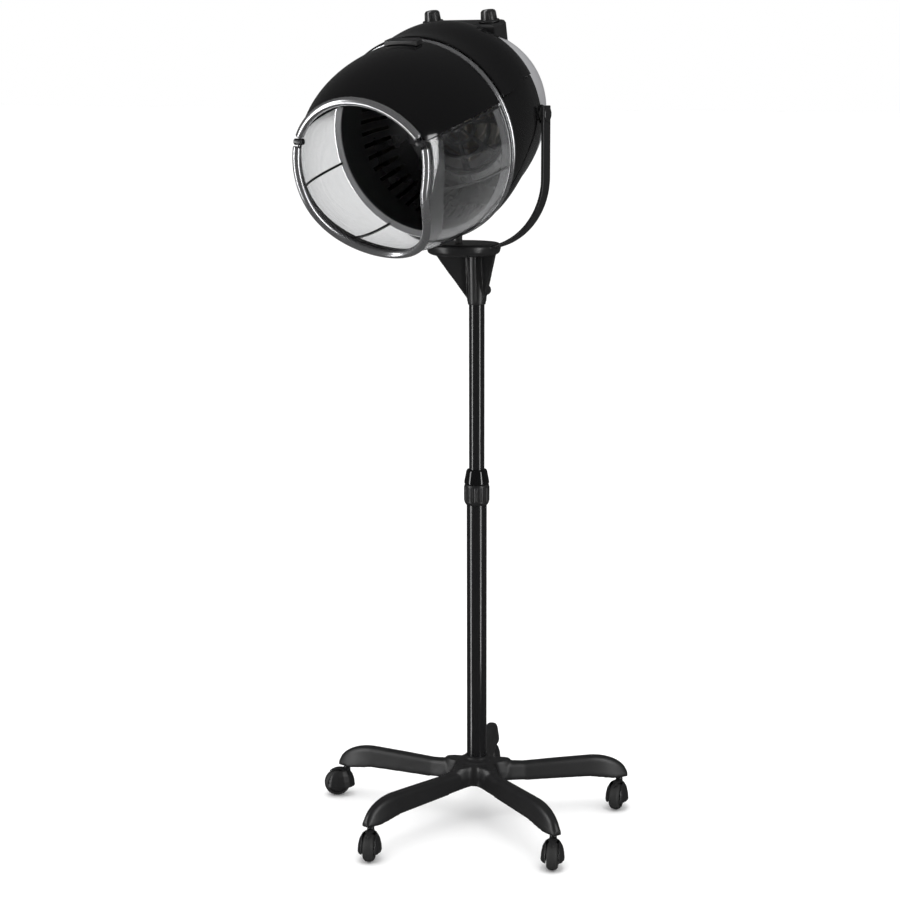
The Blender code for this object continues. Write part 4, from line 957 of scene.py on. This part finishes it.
def yoke():
    """The U-shaped bracket, its dish and the ribbed boss on the tube."""
    forward = PIVOT.y
    dish_foot = DISH_TOP - DISH_DEPTH
    inner, outer = YOKE_GAP / 2, YOKE_GAP / 2 + YOKE_STRAP
    centre, middle = inner + YOKE_STRAP - YOKE_CORNER, YOKE_CORNER - YOKE_STRAP / 2
    strap = inner + YOKE_STRAP / 2
    path = [(strap, PIVOT.z + YOKE_ARM_WIDTH * 0.52), (strap, PIVOT.z - 0.02)]
    path += [(centre + middle * cos(radians(a)), YOKE_ARC_HEIGHT - middle * sin(radians(a)))
             for a in spread(0, 77, 36)]
    wide = YOKE_ARM_WIDTH / 2
    quarter = [(1, wide - 0.0015), (0.72, wide - 0.0005), (0.4, wide)]
    front = [(a, -b) for a, b in quarter] + [(-a, -b) for a, b in quarter[::-1]]
    section = front + [(a, -b) for a, b in front[::-1]]
    bodies = []
    for side, _ in SIDES:
        rings = []
        for k, (x, z) in enumerate(path):
            ahead = Vector(path[min(k + 1, len(path) - 1)]) - Vector(path[max(k - 1, 0)])
            normal = Vector((-ahead.y, ahead.x)).normalized() * (YOKE_STRAP / 2)
            rings.append([(side * (x + normal.x * a), forward + b, z + normal.y * a) for a, b in section])
        bodies.append(swept(rings))
    dish = plug([(0, dish_foot), (DISH_RADIUS - 0.012, dish_foot), (DISH_RADIUS - 0.003, dish_foot + 0.0035),
                 (DISH_RADIUS, DISH_TOP - 0.005), (DISH_RADIUS - 0.0035, DISH_TOP), (0, DISH_TOP)],
                0.004, 128, 5)
    bodies.append(placed(dish, shift(0, forward + 0.003, 0)))
    half_fin = 0.0026
    for side, _ in SIDES:
        fin = [(DISH_RADIUS - 0.003, forward + 0.004, dish_foot + 0.004), (0.010, -0.006, dish_foot + 0.004),
               (BOSS_RADIUS_FOOT + 0.0045, -0.001, BOSS_FOOT + 0.016),
               (BOSS_RADIUS_FOOT - 0.003, 0, BOSS_FOOT + 0.003)]
        bodies.append(wrapped([(side * x, y + thick, z) for x, y, z in fin
                               for thick in (-half_fin, half_fin)]))
    bodies.append(plug([(0, BOSS_FOOT), (BOSS_RADIUS_FOOT, BOSS_FOOT), (BOSS_RADIUS_TOP, dish_foot + 0.001),
                        (BOSS_RADIUS_TOP, dish_foot + 0.006), (0, dish_foot + 0.006)], 0.0012, 96))
    piece("yoke_skin", softened(together(*bodies), "yoke", 0.0015, 2), "satin_black", "yoke", "yoke",
          sharp=80)
    drop = dish_foot - BOSS_FOOT - 0.006
    taper = BOSS_RADIUS_TOP - BOSS_RADIUS_FOOT
    rib = swept([[(BOSS_RADIUS_FOOT - 0.001 + taper * share + out * cos(t) * 0.5 + out * 0.5, 0.0017 * sin(t),
                   BOSS_FOOT + 0.004 + drop * share) for t in circle(10)]
                 for share, out in ((0, 0.0010), (0.04, 0.0022), (0.5, 0.0034), (0.96, 0.0052), (1, 0.0052))])
    ring_of("yoke_boss_ribs", rib, BOSS_RIBS, "satin_black", "yoke", spin(radians(180 / BOSS_RIBS)))
    cap = [(0, outer + 0.0003), (0.0118, outer + 0.0003), (0.0122, outer + 0.0008), (0.0105, outer + 0.0022),
           (0.0060, outer + 0.0028), (0, outer + 0.0029)]
    for side, name in SIDES:
        at = Matrix.Translation((0, forward, PIVOT.z)) @ spin(side * pi / 2, "Y")
        piece(f"pivot_cap_button_{name}", placed(plug(cap, 0.0004, 64), at), "satin_black", "yoke",
              f"pivot_cap_{name}")


def controls():
    """The panel with its two fluted knobs and their pointers, and the latch."""
    y, top = PIVOT_STATION - PANEL_STATION, PANEL_TOP - AXIS_DROP
    r, h = KNOB_RADIUS, KNOB_HEIGHT
    skirt = r + 0.0040
    cap = [(0, 0.0004), (skirt, 0.0004), (skirt, 0.0022), (r + 0.0004, 0.0034), (r - 0.0018, h - 0.0012),
           (r - 0.0034, h - 0.0002), (r - 0.0060, h - 0.0010), (0, h - 0.0010)]
    piece("control_panel_body", cad_copy("control_panel", flat=True), "satin_black", "hood", "control_panel",
          bevel=0.0012)
    for side, name in ((-1, "timer_knob"), (1, "temperature_knob")):
        at = FRAME_OF_HOOD @ shift(side * KNOB_SPACING / 2, y, top + 0.0005)
        piece(f"{name}_cap", placed(plug(cap, 0.0006, 96), at), "satin_black", name, name)
        pointer = brick((-0.0008, -r - 0.0002, 0.0046), (0.0008, -0.0045, h + 0.0007))
        piece(f"{name}_pointer", placed(pointer, at), "light_grey", name, bevel=0.0002, slot="grey")
        flute = swept([[(r - 0.0003 - 0.0012 * share + 0.0007 * up * cos(t), 0.0010 * up * sin(t),
                         0.0040 + (h - 0.0062) * share) for t in circle(8)]
                       for share, up in ((0, 0.3), (0.08, 1), (0.92, 1), (1, 0.3))])
        ring_of(f"{name}_flutes", flute, KNOB_FLUTES, "satin_black", name, at)
    piece("front_latch_bar", cad_copy("front_latch", flat=True), "satin_black", "hood", "front_latch",
          bevel=0.0008)


def tube_parts():
    """Tubes and the height collar, with ribs round its grip."""
    box = {name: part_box(name) for name in ("lower_tube", "upper_tube", "collar_grip", "collar_cone")}
    for name, body in (("lower_tube", "base"), ("upper_tube", "mast")):
        low, high = box[name]
        radius = high.x
        bore = radius - 0.0015
        wall = rounded([(bore, low.z), (radius, low.z), (radius, high.z), (bore, high.z)], 0.0005)
        piece(f"{name}_skin", turned(wall, 128), "painted_tube", body, name)
    low, high = box["collar_grip"]
    radius = high.x
    inner, ledge = box["lower_tube"][1].x + 0.0005, box["lower_tube"][1].z + 0.0003
    neck = box["upper_tube"][1].x + 0.0005
    grip = rounded([
        (inner, low.z), (radius - 0.0034, low.z), (radius - 0.0008, low.z + 0.0045),
        (radius - 0.0008, high.z - 0.002), (radius - 0.0022, high.z), (neck, high.z), (neck, ledge),
        (inner, ledge)], 0.0008)
    piece("collar_grip_body", turned(grip, 128), "satin_black", "collar", "collar_grip")
    rib = swept([[(radius - 0.0016 + 0.0016 * up * cos(t), 0.0011 * sin(t), z) for t in circle(8)]
                 for z, up in ((low.z + 0.0062, 0.2), (low.z + 0.0072, 1.0), (high.z - 0.0052, 1.0),
                               (high.z - 0.0040, 0.2))])
    ring_of("collar_grip_ribs", rib, COLLAR_RIBS, "satin_black", "collar")
    low, high = box["collar_cone"]
    wide = high.x
    cone = rounded([(neck, low.z), (wide, low.z), (wide, low.z + 0.0035), (neck + 0.0042, high.z - 0.0025),
                    (neck + 0.0027, high.z), (neck, high.z)], 0.0014, 5)
    piece("collar_cone_skin", turned(cone, 128), "gloss_black", "collar", "collar_cone")


stage()
shells()
back_cap()
visor()
inner_parts()
tube_parts()
star()
casters()
yoke()
controls()
